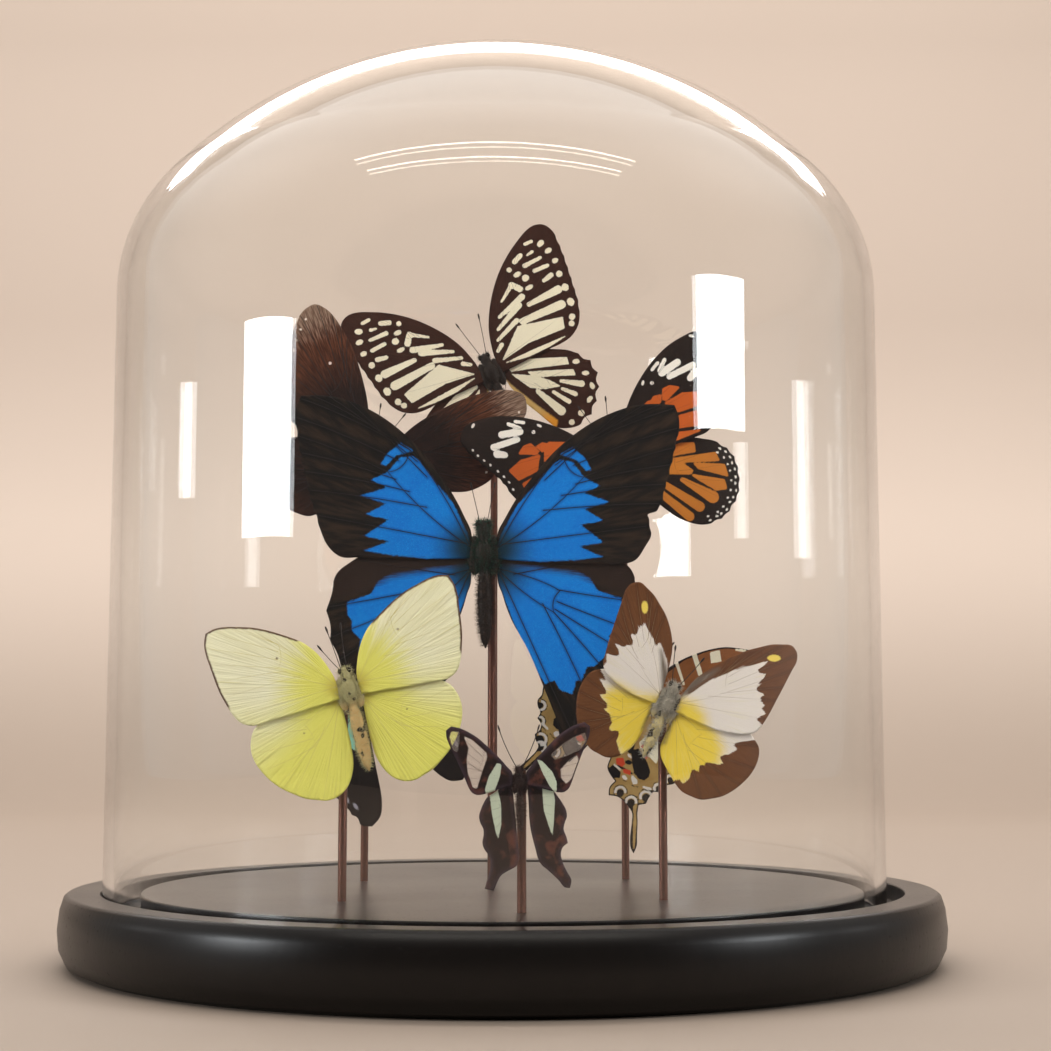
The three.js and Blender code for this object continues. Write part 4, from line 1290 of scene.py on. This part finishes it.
# ---------------------------------------------------------------------------------------------
# Dragontail: the smallest butterfly, in front, dark brown with one mint-white stripe across each
# pair of wings, clear scaleless panes in the forewings and tails that are broken off short.
def dragontail_scales():
    finish = Finish("dragontail_scales", Roughness=0.5, Specular_IOR_Level=0.12)
    dust = finish.noise(5000, 2)
    brown = finish.mix(finish.fan(8, 0.4), tone(12, 5, 4), tone(40, 18, 13))
    brown = finish.mix(finish.smooth(finish.noise(330, 4), 0.5, 0.68) * 0.75, brown, tone(98, 52, 38))
    brown = finish.mix(finish.smooth(finish.attribute("margin"), 1.3, 0.3) * 0.5, brown, tone(66, 50, 58))
    ragged = 0.3 * finish.noise(2500, 3) - 0.15
    colour = finish.mix(finish.mark("mint", ragged, 0.1), brown, tone(190, 196, 172))
    pane = finish.mark("pane", ragged)
    colour = finish.mix(pane, colour, tone(176, 158, 146))
    return finish.wear(Base_Color=colour, Alpha=1 - 0.8 * pane, Roughness=0.5 - 0.3 * pane,
                       Normal=finish.bump(finish.fan(12, 0.3) + 0.3 * dust, 0.35, 0.0003))


dress(
    "dragontail", (4.8, -83.2, 52), 91, (4, 4),
    {"forewing": (0, -1.6), "hindwing": (4.3, -3)}, (3, -12, 1.5, 1.05), (12, 25),
    {
        "forewing_left": {
            "mint": [patch((5.4, 4.8), (4.4, 4.2), (4.8, 1.5), (6.6, -3.2), (8.2, -3.6), (8.5, -1.6),
                           (7.5, 1.5))],
            "pane": [
                patch((16.6, 12.6), (14.6, 12.4), (14.6, 10.4), (15.1, 7.4), (16.2, 8.2), (17, 11.2)),
                patch((13.6, 11.4), (11.4, 10.4), (8, 7.2), (7.9, 5.9), (9.5, 1.6), (10.5, -1.6),
                      (11.5, -1.1), (12.7, 2.6), (12.9, 5.5), (12.4, 8.5), (13, 10)),
            ],
        },
        "forewing_right": {
            "mint": [patch((4.6, 5.2), (5.8, 4.8), (8.2, 2), (9.1, -0.5), (8.9, -3.4), (7.3, -1.3),
                           (5.7, 2.1))],
            "pane": [
                patch((10.2, 2.6), (12.2, 4.6), (14.4, 6), (14.6, 4.6), (12.8, 0.3), (11.4, -1.1),
                      (10.2, 0.5)),
                patch((8, 6.2), (11, 8.7), (13.5, 10.1), (16.5, 11.2), (16.9, 9.4), (15.2, 7.2),
                      (12.3, 6), (8.9, 5)),
            ],
        },
        "hindwing_left": {
            "mint": [patch((7.6, -2), (5.5, -1.4), (5, -5), (5.4, -9.9), (6.5, -13.6), (7, -11.2),
                           (7.4, -7.2))],
        },
        "hindwing_right": {
            "mint": [patch((5.4, -1.6), (8, -2), (8.3, -5.1), (7.7, -9.9), (7.1, -13.9), (6.4, -11.3),
                           (5.4, -7.3))],
        },
    },
    {
        "forewing": ((1.8, 1), ((8.6, 7.8), (10.2, 3)), (13.4, 12.9), (13.8, 2), FORE_RAYS),
        "hindwing": ((1.8, -0.5), ((5.4, -5), (4.8, -9)), (8.2, -3), (9, -19.4), HIND_RAYS[:6]),
    },
    dragontail_scales(), insect_skin("dragontail_vein", tone(30, 16, 12), tone(56, 34, 26)), 0.05,
    insect_skin("dragontail_skin", tone(26, 15, 12), tone(64, 38, 30)),
    insect_skin("dragontail_fur", tone(18, 11, 9), tone(70, 44, 34), 0.7), 1.2,
)


# ---------------------------------------------------------------------------------------------
# Swordtail: its underside faces the front, ochre with cream and black bars, red marks at the inner
# corner, scalloped edges with white crescents and one long thin tail on each hindwing.
def swordtail_scales():
    finish = Finish("swordtail_scales", Roughness=0.7, Specular_IOR_Level=0.12)
    dust = finish.noise(4500, 2)
    ochre = finish.mix(finish.noise(260, 3), tone(142, 104, 54), tone(184, 152, 92))
    brown = finish.mix(finish.fan(6, 0.3), tone(108, 60, 28), tone(148, 90, 46))
    ragged = 0.3 * finish.noise(1800, 3) - 0.15
    colour = finish.mix(finish.mark("brown", ragged, 0.5), ochre, brown)
    for name, shade in (("dark", (26, 16, 13)), ("cream", (222, 212, 186)), ("red", (200, 66, 36)),
                        ("white", (214, 204, 194)), ("ink", (24, 15, 13))):
        colour = finish.mix(finish.mark(name, ragged, 0.12), colour, tone(*shade))
    return finish.wear(Base_Color=colour, Normal=finish.ridged(12, dust, 0.4, 0.3, 0.0003))


# The crescents that fill the scallops of the hindwing: middle, radius and the way each one looks
SWORDTAIL_ARCS = [(11.7, -28.3, 1.5, 120), (16, -29.2, 1.55, 120), (19.1, -25.6, 1.7, 130)]
SWORDTAIL_OUTER_ARCS = [(20.9, -21.4, 1.2, 150), (22.6, -17.4, 1.2, 160)]
SWORDTAIL_BENT_ARCS = [(17.1, -27.2, 1.7, 140), (20.2, -22.6, 1.25, 150), (22.2, -18.4, 1.25, 160)]


def swordtail_hindwing(arcs, tail):
    rims, crescents, pupils = [], [], []
    for x, y, radius, turned in arcs:
        rims.append(crescent(x, y, radius + 0.55, 0.4, turned))
        crescents.append(crescent(x, y, radius, 0.75, turned))
        way = radians(turned)
        pupils.append(spot(x - 0.25 * cos(way), y - 0.25 * sin(way), radius * 0.75))
    return {
        "dark": [
            patch((8.3, -16.2), (9.6, -14.3), (11.7, -15), (14.2, -16.5), (16.3, -18.3), (16.8, -20),
                  (16.1, -21.6), (14.4, -22.1), (12.3, -21.2), (10.5, -19.2)),
            patch((5, -24.2), (5.6, -22.4), (8.8, -23.1), (9.4, -24.9), (7.5, -25.6)),
            hem(0.35), streak(7.2, -21.9, 0.35, 12, -21.7, 0.3), spot(9.3, -19.4, 1.1, 0.7, 20),
            streak(3, 0, 0.9, 8, -16, 0.9), streak(9, -1, 0.7, 15, -14, 0.6),
            streak(17, -2, 0.6, 22, -12, 0.6), *rims, *pupils, *tail,
        ],
        "cream": [
            patch((9, -12.6), (10.4, -14.2), (13.3, -14.6), (16.9, -15.6), (15.4, -11), (13, -8.5),
                  (10, -9.5)),
        ],
        "red": [
            patch((5.4, -20.3), (7.2, -19), (8.7, -20.4), (8.3, -21.6), (6.4, -21.7)),
            patch((8.7, -21.9), (11.1, -21.1), (11.7, -22.4), (9.6, -22.9)),
            streak(10.5, -13.2, 0.4, 11.3, -9, 0.3), spot(12.8, -15.3, 0.9, 0.4, -20),
        ],
        "white": [
            *crescents, streak(5.9, -22.2, 0.3, 8.3, -22.6, 0.3), spot(10.6, -23.9, 1, 0.55, -10),
            spot(8.6, -17.6, 0.9, 0.4, -20), streak(16.9, -23.4, 0.35, 19.1, -22.8, 0.35),
            patch((12, -21.9), (14.3, -22.6), (14.9, -23.6), (13.8, -24.3), (12.4, -23.2)),
        ],
        "ink": [
            streak(10.4, -25, 0.15, 12.1, -24.4, 0.15), streak(13.4, -24.9, 0.2, 15.4, -24.3, 0.2),
            streak(17, -24.2, 0.2, 19.4, -23.4, 0.2),
        ],
    }


swordtail_forewing = {
    "brown": [patch((0, -9), (0, 40), (40, 40), (40, -9))],
    "cream": [streak(7.2, 13.8, 0.5, 12.4, 8.6, 0.35), streak(11.2, 18.2, 0.75, 15.6, 13.6, 0.7),
              patch((15.2, 20.9), (17.6, 22.9), (19.6, 20), (17, 18.1)),
              streak(22, 25.2, 0.3, 24.6, 26.2, 0.4)],
    "dark": [hem(0.45), streak(3, 4, 0.6, 9, 15.6, 0.5), streak(9, 15.6, 0.5, 17, 24, 0.4)],
}
dress(
    "swordtail", (39.5, 21.4, 76.5), 59, (-3, -3),
    {"forewing": (-4, 0), "hindwing": (0, 0)}, (5.4, -19, 2.8, 1.8), (14, 12),
    {
        "forewing": swordtail_forewing,
        "hindwing_left": swordtail_hindwing(
            SWORDTAIL_ARCS + SWORDTAIL_OUTER_ARCS,
            [streak(18.7, -28.4, 0.5, 24.3, -40, 0.55), streak(17, -30.6, 0.45, 23, -41, 0.5)]),
        "hindwing_right": swordtail_hindwing(
            SWORDTAIL_BENT_ARCS + SWORDTAIL_ARCS[:2],
            [streak(16.3, -29.6, 0.5, 18.6, -40, 0.5), streak(14.4, -31, 0.45, 16.8, -39, 0.5)]),
    },
    {
        "forewing": ((3.1, 1.5), ((15, 17), (16, 9)), (26, 27), (26.4, 5), FORE_RAYS),
        "hindwing": ((3.1, -1), ((13.5, -8), (11.5, -13)), (21.5, -4.5), (18, -28.8), HIND_RAYS[:4]),
    },
    swordtail_scales(), black_vein, 0.08,
    insect_skin("swordtail_skin", tone(70, 56, 44), tone(140, 122, 100)),
    insect_skin("swordtail_fur", tone(120, 104, 86), tone(190, 176, 156), 0.8), 1.0, belly_out=True,
)


# ---------------------------------------------------------------------------------------------
# Bluebottle: black wings crossed by one band of turquoise panes that narrows to the tip, with a
# row of dull lilac crescents inside the hindwing's edge.
def bluebottle_scales():
    finish = Finish("bluebottle_scales", Roughness=0.6, Specular_IOR_Level=0.12)
    dust = finish.noise(4500, 2)
    black = finish.mix(finish.fan(7, 0.3), tone(16, 11, 10), tone(42, 30, 26))
    ragged = 0.3 * finish.noise(1800, 3) - 0.15
    teal = finish.mix(dust, tone(122, 186, 162), tone(150, 210, 186))
    colour = finish.mix(finish.mark("teal", ragged), black, teal)
    colour = finish.mix(finish.mark("lilac", ragged, 0.2), colour, tone(152, 146, 156))
    return finish.wear(Base_Color=colour, Normal=finish.bump(dust, 0.25, 0.0001))


dress(
    "bluebottle", (-41.4, 14.5, 73.6), 117, (3, 3),
    {"forewing": (-5, 5), "hindwing": (-2, -2)}, (5.4, -18, 2.9, 1.8), (17, 20),
    {
        "forewing": {
            "teal": [
                streak(24.6, 17.6, 0.5, 25, 17.4, 0.5), spot(24, 14.6, 0.9, 0.7),
                spot(23, 11.6, 1.3, 0.9), spot(21.8, 8, 1.8, 1.2),
                patch((17, 6.4), (23, 6), (22, 2.4), (15, 3)),
                patch((11, 2.6), (21, 2), (19, -2.4), (9, -2)),
            ],
        },
        "hindwing": {
            "teal": [patch((6, 0), (12, -0.4), (14, -5), (8, -14), (4.6, -12), (4, -4))],
            "lilac": [edge_spots((21.8, -12), (17.8, -29.5), 5, 2.2, 1.2, 0.5)],
        },
    },
    {
        "forewing": ((3.2, 1.5), ((14, 13.5), (15.5, 7)), (23, 21.6), (26.4, 4), FORE_RAYS),
        "hindwing": ((3.2, -1), ((11, -7), (10, -14)), (18, -5), (17.8, -29.5), HIND_RAYS),
    },
    bluebottle_scales(), black_vein, 0.12,
    bays={"forewing": [((30, 19), (26, 2), 7, 0.3)], "hindwing": [((21.6, -10), (16.6, -32.5), 6, 0.7)]},
)
